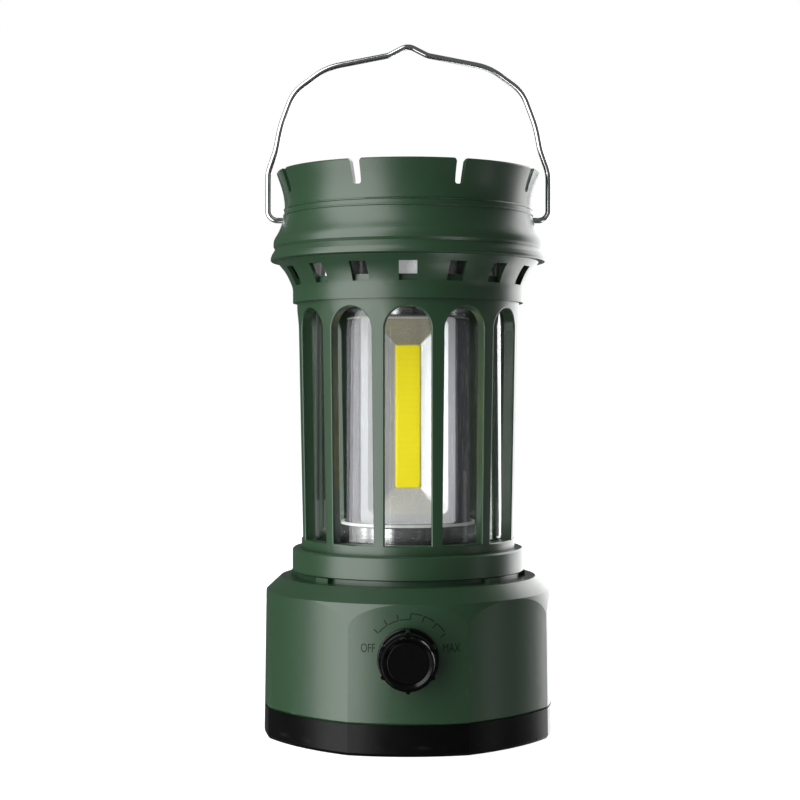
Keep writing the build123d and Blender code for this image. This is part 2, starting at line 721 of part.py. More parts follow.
lower_gasket = tube(GASKET_INNER, CHIMNEY_OUTER + 0.3, COLLAR_FLOOR, CHIMNEY_BOTTOM)
lower_gasket.part.label = "lower_gasket"
export_step(lower_gasket.part, "parts/lower_gasket.step")

upper_gasket = tube(GASKET_INNER, CHIMNEY_OUTER + 0.5, CHIMNEY_TOP, CAGE_TOP)
upper_gasket.part.label = "upper_gasket"
export_step(upper_gasket.part, "parts/upper_gasket.step")

# ---------------------------------------------------------------- light column

lamp_deck = tube(TIE_BORE, GASKET_INNER - 0.3, COLLAR_FLOOR, DECK_TOP)
lamp_deck.part.label = "lamp_deck"
export_step(lamp_deck.part, "parts/lamp_deck.step")

# Turned metal foot of the column
with BuildPart() as pedestal:
    with BuildSketch(Plane.XY.offset(DECK_TOP)):
        Circle(PEDESTAL_RADIUS)
        Circle(TIE_BORE, mode=Mode.SUBTRACT)
    extrude(amount=PEDESTAL_TOP - DECK_TOP)
    chamfer(pedestal.edges().filter_by(GeomType.CIRCLE).sort_by(SortBy.RADIUS)[-2:], 0.4)
pedestal.part.label = "pedestal"
export_step(pedestal.part, "parts/pedestal.step")

pedestal_ring = tube(23.1, 24.1, PEDESTAL_TOP, PEDESTAL_TOP + 0.9)
pedestal_ring.part.label = "pedestal_ring"
export_step(pedestal_ring.part, "parts/pedestal_ring.step")

# Column with three flats, each holding a tapered reflector pocket with a straight seat
with BuildPart() as reflector_column:
    with BuildSketch(Plane.XY.offset(PEDESTAL_TOP)):
        Circle(COLUMN_RADIUS)
    extrude(amount=COLUMN_TOP - PEDESTAL_TOP)
    fillet(reflector_column.faces().sort_by(Axis.Z)[-1].edges(), COLUMN_EDGE)
    for index in range(LAMPS):
        azimuth = index * 360 / LAMPS
        with BuildSketch(facing(azimuth, CHORD)):
            with Locations((0, FRAME_CENTRE_Z)):
                RectangleRounded(FRAME_WIDTH, FRAME_HEIGHT, 3)
        extrude(amount=10, mode=Mode.SUBTRACT)
        with BuildSketch(facing(azimuth, CHORD)):
            with Locations((0, POCKET_CENTRE_Z)):
                RectangleRounded(MOUTH_WIDTH, MOUTH_HEIGHT, 2.5)
        with BuildSketch(facing(azimuth, CHORD - POCKET_DEPTH)):
            with Locations((0, POCKET_CENTRE_Z)):
                RectangleRounded(SEAT_WIDTH, SEAT_HEIGHT, 0.5)
        loft(ruled=True, mode=Mode.SUBTRACT)
        with BuildSketch(facing(azimuth, CHORD - POCKET_DEPTH - STRIP_THICKNESS)):
            with Locations((0, POCKET_CENTRE_Z)):
                RectangleRounded(SEAT_WIDTH, SEAT_HEIGHT, 0.5)
        extrude(amount=STRIP_THICKNESS + 0.1, mode=Mode.SUBTRACT)
    with BuildSketch(Plane.XY.offset(PEDESTAL_TOP)):
        Circle(TIE_BORE)
    extrude(amount=COLUMN_TOP - PEDESTAL_TOP, mode=Mode.SUBTRACT)
reflector_column.part.label = "reflector_column"
export_step(reflector_column.part, "parts/reflector_column.step")

# Long LED strips: a metal-backed board and the phosphor on it, one in each pocket
with BuildPart() as cob_boards:
    for index in range(LAMPS):
        with BuildSketch(facing(index * 360 / LAMPS, CHORD - POCKET_DEPTH - STRIP_THICKNESS)):
            with Locations((0, POCKET_CENTRE_Z)):
                RectangleRounded(SEAT_WIDTH - 0.1, SEAT_HEIGHT - 0.1, 0.5)
        extrude(amount=STRIP_THICKNESS)
cob_boards.part.label = "cob_boards"
export_step(cob_boards.part, "parts/cob_boards.step")

with BuildPart() as cob_phosphors:
    for index in range(LAMPS):
        with BuildSketch(facing(index * 360 / LAMPS, CHORD - POCKET_DEPTH)):
            with Locations((0, POCKET_CENTRE_Z)):
                RectangleRounded(SEAT_WIDTH - 0.3, SEAT_HEIGHT - 0.3, 0.6)
        extrude(amount=PHOSPHOR_THICKNESS)
cob_phosphors.part.label = "cob_phosphors"
export_step(cob_phosphors.part, "parts/cob_phosphors.step")

column_cap = tube(TIE_BORE, 15.0, COLUMN_TOP, SLOT_CROWN)
column_cap.part.label = "column_cap"
export_step(column_cap.part, "parts/column_cap.step")

top_deck = tube(TIE_BORE, CHIMNEY_INNER - 0.3, SLOT_CROWN, SLOT_CROWN + 2)
top_deck.part.label = "top_deck"
export_step(top_deck.part, "parts/top_deck.step")

spacer_tube = tube(TIE_BORE, 7.0, SLOT_CROWN + 2, CAGE_TOP)
spacer_tube.part.label = "spacer_tube"
export_step(spacer_tube.part, "parts/spacer_tube.step")

# Hollow rod that clamps the column between the base plate and the heat sink
tie_tube = tube(3.0, TIE_RADIUS, 49.0, 164.5)
tie_tube.part.label = "tie_tube"
export_step(tie_tube.part, "parts/tie_tube.step")

with BuildPart() as tie_nuts:
    with BuildSketch(Plane.XY.offset(PLATE_UNDERSIDE - 3)):
        RegularPolygon(7, 6)
        Circle(TIE_RADIUS, mode=Mode.SUBTRACT)
    extrude(amount=3)
    with BuildSketch(Plane.XY.offset(LEDGE_BOTTOM)):
        RegularPolygon(7, 6)
        Circle(TIE_RADIUS, mode=Mode.SUBTRACT)
    extrude(amount=3)
tie_nuts.part.label = "tie_nuts"
export_step(tie_nuts.part, "parts/tie_nuts.step")

# Wires from the board to the lamps, up inside the rod
with BuildPart() as led_leads:
    with BuildSketch(Plane.XY.offset(BOARD_Z + BOARD_THICKNESS)):
        with GridLocations(2.4, 2.4, 2, 2):
            Circle(0.7)
    extrude(amount=SINK_TOP - BOARD_Z - BOARD_THICKNESS)
led_leads.part.label = "led_leads"
export_step(led_leads.part, "parts/led_leads.step")

# ---------------------------------------------------------------- head

# Finned heat sink: its plate is clamped between the cage and the head, and four broad blocks
# stand behind every fourth vent
with BuildPart() as heat_sink:
    with BuildSketch(Plane.XY.offset(CAGE_TOP)):
        Circle(CAGE_HEAD_RADIUS)
    extrude(amount=LEDGE_BOTTOM - CAGE_TOP)
    with BuildSketch(Plane.XY.offset(LEDGE_BOTTOM)):
        Circle(11)
        with PolarLocations(21.0, FINS):
            Rectangle(22.8, FIN_THICKNESS)
        with PolarLocations(BLOCK_REACH - BLOCK_LENGTH / 2, SINK_BLOCKS):
            Rectangle(BLOCK_LENGTH, BLOCK_WIDTH)
    extrude(amount=SINK_TOP - LEDGE_BOTTOM)
    with BuildSketch(Plane.XY.offset(LEDGE_BOTTOM)):
        Circle(8)
    extrude(amount=SINK_TOP, mode=Mode.SUBTRACT)
    with BuildSketch(Plane.XY.offset(CAGE_TOP)):
        Circle(TIE_BORE)
        with PolarLocations(HEAD_SCREW_CIRCLE, HEAD_SCREW_COUNT, start_angle=45):
            Circle(PILOT_RADIUS)
    extrude(amount=3, mode=Mode.SUBTRACT)
heat_sink.part.label = "heat_sink"
export_step(heat_sink.part, "parts/heat_sink.step")

# Head: flared skirt with vents, bead, waist with two fine ridges and a notched rim
with BuildPart() as head_shell:
    with BuildSketch(Plane.XZ):
        with BuildLine():
            Polyline((40.15, HEAD_BOTTOM), (41.5, HEAD_BOTTOM), (41.5, 157.2))
            Spline(
                (41.5, 157.2), (42.3, 160.4), (44.6, 164.7), (47.0, 167.9),
                tangents=((0, 1), (0.6, 1)),
            )
            Polyline(
                (47.0, 167.9), (49.2, 168.0), (49.5, 168.3), (49.5, 169.1), (49.1, 170.3),
                (47.9, 172.3), (48.5, 173.3), (48.5, 174.2),
            )
            Spline(
                (48.5, 174.2), (47.2, 177.6), (45.4, 181.8), (44.45, 187.9), (45.7, 195.0),
                (47.3, 199.5), tangents=((0, 1), (0.35, 1)),
            )
            Polyline(
                (47.3, 199.5), (47.0, HEAD_TOP), (45.2, HEAD_TOP), (44.8, 199.6), (43.2, 194),
                (42.3, 188.5), (42.3, 186.4), (41.0, 186.4), (41.0, 185.6), (42.5, 184.9),
                (44.9, 177.6), (46.3, 174.5), (46.3, 169.4), (44.0, 166.9), (41.2, LEDGE_TOP),
                (37.2, LEDGE_TOP), (37.2, LEDGE_BOTTOM), (40.15, LEDGE_BOTTOM),
                (40.15, HEAD_BOTTOM),
            )
        make_face()
    revolve(axis=Axis.Z)
    with BuildSketch(Plane.XZ):
        with Locations((44.75, 184.5), (44.45, 186.6)):
            Circle(0.35)
    revolve(axis=Axis.Z)
    for index in range(VENTS):
        with BuildSketch(facing(index * 360 / VENTS, 40.2)):
            with Locations((0, (VENT_BOTTOM + VENT_TOP) / 2)):
                Rectangle(VENT_WIDTH, VENT_TOP - VENT_BOTTOM)
        extrude(amount=10, mode=Mode.SUBTRACT)
    for index in range(NOTCHES):
        with BuildSketch(facing((index + 0.5) * 360 / NOTCHES, 40)):
            with BuildLine():
                Polyline(
                    (-1.4, NOTCH_BOTTOM), (1.4, NOTCH_BOTTOM), (1.7, HEAD_TOP - 1),
                    (2.6, HEAD_TOP + 0.4), (2.6, HEAD_TOP + 1), (-2.6, HEAD_TOP + 1),
                    (-2.6, HEAD_TOP + 0.4), (-1.7, HEAD_TOP - 1), (-1.4, NOTCH_BOTTOM),
                )
            notch = make_face()
            fillet(notch.vertices().group_by(Axis.Y)[0], 0.9)
        extrude(amount=10, mode=Mode.SUBTRACT)
    with BuildSketch(Plane.YZ):
        with Locations((0, PIVOT_Z)):
            Circle(WIRE_RADIUS + RUNNING_GAP)
    extrude(amount=55, both=True, mode=Mode.SUBTRACT)
    with BuildSketch(Plane.XY.offset(LEDGE_BOTTOM)):
        with PolarLocations(HEAD_SCREW_CIRCLE, HEAD_SCREW_COUNT, start_angle=45):
            Circle(PILOT_RADIUS)
    extrude(amount=LEDGE_TOP - LEDGE_BOTTOM, mode=Mode.SUBTRACT)
head_shell.part.label = "head_shell"
export_step(head_shell.part, "parts/head_shell.step")

# Screws down through the head's ledge and the heat sink into the cage
with BuildPart() as head_screws:
    with BuildSketch(Plane.XY.offset(LEDGE_TOP)):
        with PolarLocations(HEAD_SCREW_CIRCLE, HEAD_SCREW_COUNT, start_angle=45):
            Circle(1.9)
    extrude(amount=1.4)
    with BuildSketch(Plane.XY.offset(HEAD_SCREW_BOTTOM)):
        with PolarLocations(HEAD_SCREW_CIRCLE, HEAD_SCREW_COUNT, start_angle=45):
            Circle(SCREW_RADIUS)
    extrude(amount=LEDGE_TOP - HEAD_SCREW_BOTTOM)
head_screws.part.label = "head_screws"
export_step(head_screws.part, "parts/head_screws.step")

# Upward lamp: board, emitter, dish, lens and the ring that keeps the lens in
torch_board = tube(0.5, 10.5, SINK_TOP, SINK_TOP + 1.6)
torch_board.part.label = "torch_board"
export_step(torch_board.part, "parts/torch_board.step")

with BuildPart() as torch_led:
    with BuildSketch(Plane.XY.offset(SINK_TOP + 1.6)):
        Rectangle(5, 5)
    extrude(amount=0.8)
    with BuildSketch(Plane.XY.offset(SINK_TOP + 2.4)):
        Circle(2.1)
    extrude(amount=1.3, taper=20)
torch_led.part.label = "torch_led"
export_step(torch_led.part, "parts/torch_led.step")


def dish_height(radius):
    """Height of the parabolic dish's bright face at a radius."""
    return 172.0 + (radius**2 - 25) / 96.4


with BuildPart() as torch_reflector:
    with BuildSketch(Plane.XZ):
        with BuildLine():
            rim = dish_height(DISH_RIM_RADIUS)
            Spline(*[(r, dish_height(r)) for r in (5.0, 14.0, 23.0, 31.0, DISH_RIM_RADIUS)])
            Polyline(
                (DISH_RIM_RADIUS, rim), (LENS_RADIUS, rim), (LENS_RADIUS, 186.4),
                (40, 186.4), (37.6, dish_height(37.6) - DISH_WALL),
            )
            Spline(*[(r, dish_height(r) - DISH_WALL) for r in (37.6, 31.0, 23.0, 14.0, 7.0)])
            underside = dish_height(7.0) - DISH_WALL
            Polyline((7.0, underside), (5.0, underside), (5.0, dish_height(5.0)))
        make_face()
    revolve(axis=Axis.Z)
torch_reflector.part.label = "torch_reflector"
export_step(torch_reflector.part, "parts/torch_reflector.step")

lens_gasket = tube(39.5, LENS_RADIUS, dish_height(DISH_RIM_RADIUS), LENS_BOTTOM)
lens_gasket.part.label = "lens_gasket"
export_step(lens_gasket.part, "parts/lens_gasket.step")

with BuildPart() as torch_lens:
    with BuildSketch(Plane.XY.offset(LENS_BOTTOM)):
        Circle(LENS_RADIUS)
    extrude(amount=LENS_TOP - LENS_BOTTOM)
torch_lens.part.label = "torch_lens"
export_step(torch_lens.part, "parts/torch_lens.step")

lens_ring = tube(38.8, LENS_RADIUS + 0.1, LENS_TOP, LENS_RING_TOP)
lens_ring.part.label = "lens_ring"
export_step(lens_ring.part, "parts/lens_ring.step")

# ---------------------------------------------------------------- bail

# Wire handle: straight ends in the head's holes, upright arms, a leaning arch and a crest
half_route = [
    (WIRE_END, PIVOT_Z), (ARM_X, PIVOT_Z), (ARM_X, 200.2), (47.7, 208.6), (46.1, 217.2),
    (41.4, 229.6), (29.5, 238.4), (7.0, 242.8),
]
half_radii = [3.5, 12, 18, 40, 14, 22, 6]
crest = (0, 246.4)
route = half_route + [crest] + [(-x, z) for x, z in reversed(half_route)]
radii = half_radii + [4.5] + half_radii[::-1]
with BuildPart() as bail:
    with BuildLine(Plane.XZ):
        FilletPolyline(*route, radius=radii)
    with BuildSketch(Plane.YZ.offset(WIRE_END)):
        with Locations((0, PIVOT_Z)):
            Circle(WIRE_RADIUS)
    sweep()
bail.part.label = "bail"
export_step(bail.part, "parts/bail.step")

# Star clips on the wire's ends, inside the head
with BuildPart() as bail_clips:
    for side in (1, -1):
        with BuildSketch(Plane.YZ.offset(side * 41.35)):
            with Locations((0, PIVOT_Z)):
                Circle(1.7)
                Circle(WIRE_RADIUS, mode=Mode.SUBTRACT)
        extrude(amount=0.35, both=True)
bail_clips.part.label = "bail_clips"
export_step(bail_clips.part, "parts/bail_clips.step")
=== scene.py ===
"""Looks of a camping lantern: finishes, fine moulded detail, studio and camera.

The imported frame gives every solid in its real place, in metres, with +Z up and the front
towards -Y. Each finish below is a small class that draws one material with nodes, and each
sub-assembly is a class that builds its fine pieces and dresses its solids.
"""

import logging
from dataclasses import dataclass, field
from enum import Enum
from math import cos, pi, radians, sin, tau
from typing import Callable, Iterable, Sequence, Union

import bmesh
import bpy
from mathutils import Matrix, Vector
from mathutils.bvhtree import BVHTree


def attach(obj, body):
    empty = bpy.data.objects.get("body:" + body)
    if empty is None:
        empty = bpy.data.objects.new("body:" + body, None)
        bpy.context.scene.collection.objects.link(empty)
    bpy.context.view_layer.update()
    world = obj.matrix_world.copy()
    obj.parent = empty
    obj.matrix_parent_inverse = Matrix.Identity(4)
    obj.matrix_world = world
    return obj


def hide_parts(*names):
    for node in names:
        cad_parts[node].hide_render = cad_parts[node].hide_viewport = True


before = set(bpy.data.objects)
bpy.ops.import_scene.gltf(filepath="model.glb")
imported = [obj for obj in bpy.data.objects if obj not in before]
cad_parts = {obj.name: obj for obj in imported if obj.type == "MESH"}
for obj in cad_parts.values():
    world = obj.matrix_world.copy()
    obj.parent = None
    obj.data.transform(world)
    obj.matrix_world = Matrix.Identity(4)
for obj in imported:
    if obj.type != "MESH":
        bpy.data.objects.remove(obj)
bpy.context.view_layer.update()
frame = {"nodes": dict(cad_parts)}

log = logging.getLogger("lantern")

MM = 0.001
WELD = 1e-7

Rgb = tuple[float, float, float]
Point = tuple[float, float, float]
Value = Union["Signal", float, int, Sequence[float]]


class Body(Enum):
    """Moving bodies of the lantern."""

    LANTERN = "lantern"
    BAIL = "bail"
    DIMMER = "dimmer"
    PORT_FLAP = "port_flap"


class Finish(Enum):
    """Finishes, by the name of the slot each one fills."""

    GREEN_SHELL = "green_shell"
    BLACK_SHELL = "black_shell"
    BLACK_RUBBER = "black_rubber"
    KNOB_BLACK = "knob_black"
    ZINC_STEEL = "zinc_steel"
    NICKEL = "nickel"
    CELL_WRAP = "cell_wrap"
    BOARD_GREEN = "board_green"
    CHIP_BLACK = "chip_black"
    BRASS_PARTS = "brass_parts"
    CLEAR_TUBE = "clear_tube"
    CLEAR_LENS = "clear_lens"
    BRUSHED_ALLOY = "brushed_alloy"
    BRIGHT_REFLECTOR = "bright_reflector"
    WHITE_PLASTIC = "white_plastic"
    PHOSPHOR = "phosphor"
    CAST_ALLOY = "cast_alloy"
    LEAD_SHEATH = "lead_sheath"
    TORCH_CHROME = "torch_chrome"
    CHROMED_WIRE = "chromed_wire"


# ---------------------------------------------------------------- shader writing


class Signal:
    """One output of a node. Arithmetic on it adds Math nodes."""

    def __init__(self, sheet: "Sheet", socket: bpy.types.NodeSocket) -> None:
        """Hold the socket and the sheet it is drawn on."""
        self.sheet = sheet
        self.socket = socket

    def other(self, name: str) -> "Signal":
        """Another output of the same node."""
        return Signal(self.sheet, self.socket.node.outputs[name])

    def maths(self, operation: str, *values: Value) -> "Signal":
        """Join values in a Math node.

        Args:
            operation: The Math node's operation.
            values: Its inputs in order.

        Returns:
            The result.
        """
        return self.sheet.node(
            "ShaderNodeMath", {"operation": operation}, dict(enumerate(values))
        )

    def __add__(self, value: Value) -> "Signal":
        """Sum."""
        return self.maths("ADD", self, value)

    __radd__ = __add__

    def __mul__(self, value: Value) -> "Signal":
        """Product."""
        return self.maths("MULTIPLY", self, value)

    __rmul__ = __mul__

    def __sub__(self, value: Value) -> "Signal":
        """Difference."""
        return self.maths("SUBTRACT", self, value)

    def __rsub__(self, value: Value) -> "Signal":
        """Difference with the operands the other way round."""
        return self.maths("SUBTRACT", value, self)

    def __pow__(self, value: Value) -> "Signal":
        """Power."""
        return self.maths("POWER", self, value)

    def __abs__(self) -> "Signal":
        """Size without its sign."""
        return self.maths("ABSOLUTE", self)

    def sine(self) -> "Signal":
        """Sine of an angle in radians."""
        return self.maths("SINE", self)

    def cosine(self) -> "Signal":
        """Cosine of an angle in radians."""
        return self.maths("COSINE", self)


class Sheet:
    """A material's node tree, and the one way that nodes are added to it."""

    def __init__(self, name: str) -> None:
        """Start an empty material.

        Args:
            name: The material's name.
        """
        self.material = bpy.data.materials.new(name)
        self.material.use_nodes = True
        self.tree = self.material.node_tree
        self.tree.nodes.clear()

    def node(
        self,
        kind: str,
        settings: dict[str, object] | None = None,
        inputs: dict[str | int, Value] | None = None,
        output: str | int = 0,
    ) -> Signal:
        """Add a node, set it up, then feed its sockets.

        Args:
            kind: The node's type.
            settings: Its properties, with "stops" for a ramp's colours.
            inputs: Values or signals by socket name or number.
            output: Which output to return.

        Returns:
            The chosen output, or the input of a node that has none.
        """
        made = self.tree.nodes.new(kind)
        for key, value in (settings or {}).items():
            if key == "stops":
                ramp = made.color_ramp
                while len(ramp.elements) < len(value):
                    ramp.elements.new(1.0)
                for element, (position, shade) in zip(ramp.elements, value):
                    element.position = position
                    element.color = (*shade, 1.0) if len(shade) == 3 else shade
            else:
                setattr(made, key, value)
        for key, value in (inputs or {}).items():
            socket = made.inputs[key]
            if isinstance(value, Signal):
                self.tree.links.new(value.socket, socket)
            else:
                if socket.type == "RGBA" and len(value) == 3:
                    value = (*value, 1.0)
                socket.default_value = value
        ends = made.outputs if made.outputs else made.inputs
        return Signal(self, ends[output])

    def place(self) -> Signal:
        """Where the point is on the lantern, in metres."""
        return self.node("ShaderNodeTexCoord", output="Object")

    def axes(self, vector: Signal) -> tuple[Signal, Signal, Signal]:
        """Split a vector.

        Args:
            vector: A position or direction.

        Returns:
            Its three parts.
        """
        x = self.node("ShaderNodeSeparateXYZ", inputs={"Vector": vector})
        return x, x.other("Y"), x.other("Z")

    def vector(self, x: Value, y: Value, z: Value) -> Signal:
        """Join three numbers into a vector."""
        return self.node("ShaderNodeCombineXYZ", inputs={"X": x, "Y": y, "Z": z})

    def stretch(self, vector: Signal, by: Point) -> Signal:
        """A vector with each axis scaled by its own amount."""
        return self.node("ShaderNodeVectorMath", {"operation": "MULTIPLY"}, {0: vector, 1: by})

    def around(self, vector: Signal) -> tuple[Signal, Signal]:
        """Cylinder coordinates about the lantern's axis.

        Args:
            vector: A position.

        Returns:
            The turn from the back in radians, and the distance from the axis.
        """
        x, y, _ = self.axes(vector)
        return x.maths("ARCTAN2", x, y), (x * x + y * y) ** 0.5

    def noise(
        self, vector: Signal, size: float, detail: float = 2.0, roughness: float = 0.5
    ) -> Signal:
        """Soft noise from 0 to 1.

        Args:
            vector: Where to read it, in metres.
            size: Width of one feature in metres.
            detail: Octaves.
            roughness: How strong the finer octaves are.

        Returns:
            The noise's value.
        """
        return self.node(
            "ShaderNodeTexNoise",
            {"noise_dimensions": "3D"},
            {"Vector": vector, "Scale": 1.0 / size, "Detail": detail, "Roughness": roughness},
        )

    def cells(self, vector: Signal, size: float) -> Signal:
        """Distance to the nearest of a scatter of points, in cell widths."""
        return self.node("ShaderNodeTexVoronoi", inputs={"Vector": vector, "Scale": 1.0 / size})

    def between(self, value: Signal, low: float, high: float) -> Signal:
        """How far a value has come from low to high, held to 0 and 1, with soft ends."""
        return self.node(
            "ShaderNodeMapRange",
            {"interpolation_type": "SMOOTHSTEP"},
            {"Value": value, "From Min": low, "From Max": high},
        )

    def blend(self, share: Value, first: Value, second: Value) -> Signal:
        """Mix two colours.

        Args:
            share: How much of the second shows.
            first: The colour at 0.
            second: The colour at 1.

        Returns:
            The mixed colour.
        """
        return self.node(
            "ShaderNodeMix", {"data_type": "RGBA"}, {0: share, 6: first, 7: second}, output=2
        )

    def bump(self, height: Signal, depth: float, under: Signal | None = None) -> Signal:
        """Relief from a height map.

        Args:
            height: Height from 0 to 1.
            depth: What 1 stands for, in metres.
            under: A coarser relief below it.

        Returns:
            The surface's normal.
        """
        inputs: dict[str | int, Value] = {"Height": height, "Distance": depth, "Strength": 1.0}
        if under is not None:
            inputs["Normal"] = under
        return self.node("ShaderNodeBump", inputs=inputs)

    def surface(self, **inputs: Value) -> bpy.types.Material:
        """Close the sheet with a Principled shader.

        Args:
            inputs: Its sockets, with underscores for spaces.

        Returns:
            The finished material.
        """
        names = {key.replace("_", " "): value for key, value in inputs.items()}
        if "IOR Level" in names:
            names["Specular IOR Level"] = names.pop("IOR Level")
        shader = self.node("ShaderNodeBsdfPrincipled", inputs=names)
        self.node("ShaderNodeOutputMaterial", inputs={"Surface": shader})
        return self.material


def around_value(middle: float, noise: Signal, swing: float) -> Signal:
    """A number that wanders about its middle.

    Args:
        middle: The usual value.
        noise: Noise from 0 to 1.
        swing: The whole width of the wander.

    Returns:
        The wandering value.
    """
    return noise * swing + (middle - swing / 2)


# ---------------------------------------------------------------- finishes


@dataclass(frozen=True)
class MouldedGreen:
    """Satin green moulding: fine spark texture, slow waves and faint rubs on the low edges."""

    deep: Rgb = (0.0135, 0.0425, 0.0170)
    pale: Rgb = (0.0160, 0.0485, 0.0200)
    rubbed: Rgb = (0.040, 0.095, 0.050)
    roughness: float = 0.34
    specular: float = 0.70
    grain: float = 0.00032
    grain_depth: float = 0.000010
    wave: float = 0.011
    wave_depth: float = 0.000022
    case_edge: float = 0.0112
    case_sides: int = 8

    def draw(self, name: str) -> bpy.types.Material:
        """Make the material."""
        s = Sheet(name)
        here = s.place()
        _, _, z = s.axes(here)
        slow = s.noise(here, 0.042, 3.0, 0.55)
        cloud = s.noise(here, 0.0042, 4.0, 0.62)
        specks = s.noise(here, self.grain, 1.0)
        turn, out = s.around(here)
        # scuffs gather on the foot edge of the case and on its eight corners
        low = 1 - s.between(abs(z - self.case_edge), 0.0002, 0.0013)
        corner = s.between((turn * self.case_sides).cosine() * -1, 0.93, 1.0)
        on_case = s.between(out, 0.0500, 0.0516) * (1 - s.between(z, 0.040, 0.047))
        rub = (low * 0.8 + corner * on_case * 0.6) * s.between(cloud, 0.50, 0.72)
        body = s.blend(slow, self.deep, self.pale)
        waves = s.bump(s.noise(here, self.wave, 2.0), self.wave_depth)
        return s.surface(
            Base_Color=s.blend(rub * 0.55, body, self.rubbed),
            Roughness=around_value(self.roughness, cloud, 0.07) + rub * 0.08,
            Normal=s.bump(specks, self.grain_depth, waves),
            IOR_Level=self.specular,
        )


@dataclass(frozen=True)
class SatinBlack:
    """Near-black moulding with a fine dull texture."""

    colour: Rgb = (0.0009, 0.0009, 0.0010)
    worn: Rgb = (0.0085, 0.0085, 0.0090)
    roughness: float = 0.30
    specular: float = 0.14
    rub_height: float = 0.0034

    def draw(self, name: str) -> bpy.types.Material:
        """Make the material."""
        s = Sheet(name)
        here = s.place()
        _, _, z = s.axes(here)
        cloud = s.noise(here, 0.005, 4.0, 0.6)
        specks = s.noise(here, 0.0004, 1.0)
        low = 1 - s.between(abs(z - self.rub_height), 0.0001, 0.0010)
        rub = low * s.between(cloud, 0.48, 0.70)
        return s.surface(
            Base_Color=s.blend(rub * 0.7 + cloud * 0.08, self.colour, self.worn),
            Roughness=around_value(self.roughness, cloud, 0.12),
            Normal=s.bump(specks, 0.000012),
            IOR_Level=self.specular,
        )


@dataclass(frozen=True)
class Rubber:
    """Dull soft rubber with a bloom and tiny pits."""

    colour: Rgb = (0.010, 0.010, 0.011)
    bloom: Rgb = (0.028, 0.028, 0.029)
    roughness: float = 0.68

    def draw(self, name: str) -> bpy.types.Material:
        """Make the material."""
        s = Sheet(name)
        here = s.place()
        cloud = s.noise(here, 0.006, 4.0, 0.6)
        pits = s.noise(here, 0.0005, 2.0)
        return s.surface(
            Base_Color=s.blend(s.between(cloud, 0.35, 0.75), self.colour, self.bloom),
            Roughness=around_value(self.roughness, cloud, 0.16),
            Normal=s.bump(pits, 0.00003),
            IOR_Level=0.35,
        )


@dataclass(frozen=True)
class GlossBlack:
    """Polished black plastic of the knob, with faint turned rings and handling haze."""

    colour: Rgb = (0.0008, 0.0008, 0.0009)
    handled: Rgb = (0.0015, 0.0015, 0.0016)
    roughness: float = 0.20
    knob_height: float = 0.033
    ring_pitch: float = 0.00055

    def draw(self, name: str) -> bpy.types.Material:
        """Make the material."""
        s = Sheet(name)
        here = s.place()
        x, _, z = s.axes(here)
        up = z - self.knob_height
        out = (x * x + up * up) ** 0.5
        haze = s.noise(here, 0.0028, 4.0, 0.6)
        rings = (out * (tau / self.ring_pitch)).sine() * 0.5 + 0.5
        fine = s.bump(rings, 0.0000016)
        return s.surface(
            Base_Color=s.blend(haze, self.colour, self.handled),
            Roughness=around_value(self.roughness, haze, 0.08),
            Normal=s.bump(s.noise(here, 0.0009, 2.0), 0.000004, fine),
            IOR_Level=0.24,
        )


@dataclass(frozen=True)
class Metal:
    """Plain metal with fine random grain: steel, nickel or brass."""

    colour: Rgb
    stain: Rgb
    roughness: float
    grain: float = 0.0006

    def draw(self, name: str) -> bpy.types.Material:
        """Make the material."""
        s = Sheet(name)
        here = s.place()
        cloud = s.noise(here, 0.004, 4.0, 0.6)
        grain = s.noise(here, self.grain, 3.0, 0.6)
        return s.surface(
            Base_Color=s.blend(s.between(cloud, 0.3, 0.8), self.colour, self.stain),
            Metallic=1.0,
            Roughness=around_value(self.roughness, grain, 0.14),
            Normal=s.bump(grain, 0.000006),
        )


@dataclass(frozen=True)
class BrushedAlloy:
    """Turned aluminium: fine lines run round the lantern's axis."""

    colour: Rgb = (0.60, 0.60, 0.61)
    dull: Rgb = (0.34, 0.34, 0.35)
    roughness: float = 0.24

    def draw(self, name: str) -> bpy.types.Material:
        """Make the material."""
        s = Sheet(name)
        here = s.place()
        turn, out = s.around(here)
        _, _, z = s.axes(here)
        lines = s.noise(s.vector(turn * 0.0012, out, z), 0.00022, 4.0, 0.7)
        bands = s.noise(s.vector(turn * 0.006, out, z), 0.0016, 3.0, 0.6)
        return s.surface(
            Base_Color=s.blend(s.between(lines, 0.32, 0.70), self.dull, self.colour),
            Metallic=1.0,
            Roughness=around_value(self.roughness, bands, 0.18),
            Normal=s.bump(lines, 0.000022),
        )


@dataclass(frozen=True)
class CastAlloy:
    """Pale blasted casting: fine pitted skin, slow cloudy stains and a painted glow on the blocks'
    outer faces.
    """

    colour: Rgb = (0.86, 0.86, 0.88)
    stain: Rgb = (0.70, 0.70, 0.70)
    roughness: float = 0.50
    painted_glow_radius: float = 0.0362
    painted_glow_bottom: float = 0.1601
    # strength of the painted glow on the blocks' outer faces
    glow: float = 0.30

    def draw(self, name: str) -> bpy.types.Material:
        """Make the material."""
        s = Sheet(name)
        here = s.place()
        _, out = s.around(here)
        _, _, z = s.axes(here)
        cloud = s.noise(here, 0.006, 4.0, 0.6)
        pits = s.noise(here, 0.0004, 2.0)
        # painted glow: the outer faces of the blocks give off a faint light of their own, standing in
        # for lamp light seen through the vents
        face = s.between(out, self.painted_glow_radius, self.painted_glow_radius + 0.0002)
        face = face * s.between(z, self.painted_glow_bottom, self.painted_glow_bottom + 0.0003)
        return s.surface(
            Base_Color=s.blend(s.between(cloud, 0.35, 0.80), self.colour, self.stain),
            Metallic=0.15,
            Emission_Color=s.blend(face, (0.0, 0.0, 0.0), self.colour),
            Emission_Strength=self.glow,
            Roughness=around_value(self.roughness, cloud, 0.16),
            Normal=s.bump(pits, 0.000020),
        )


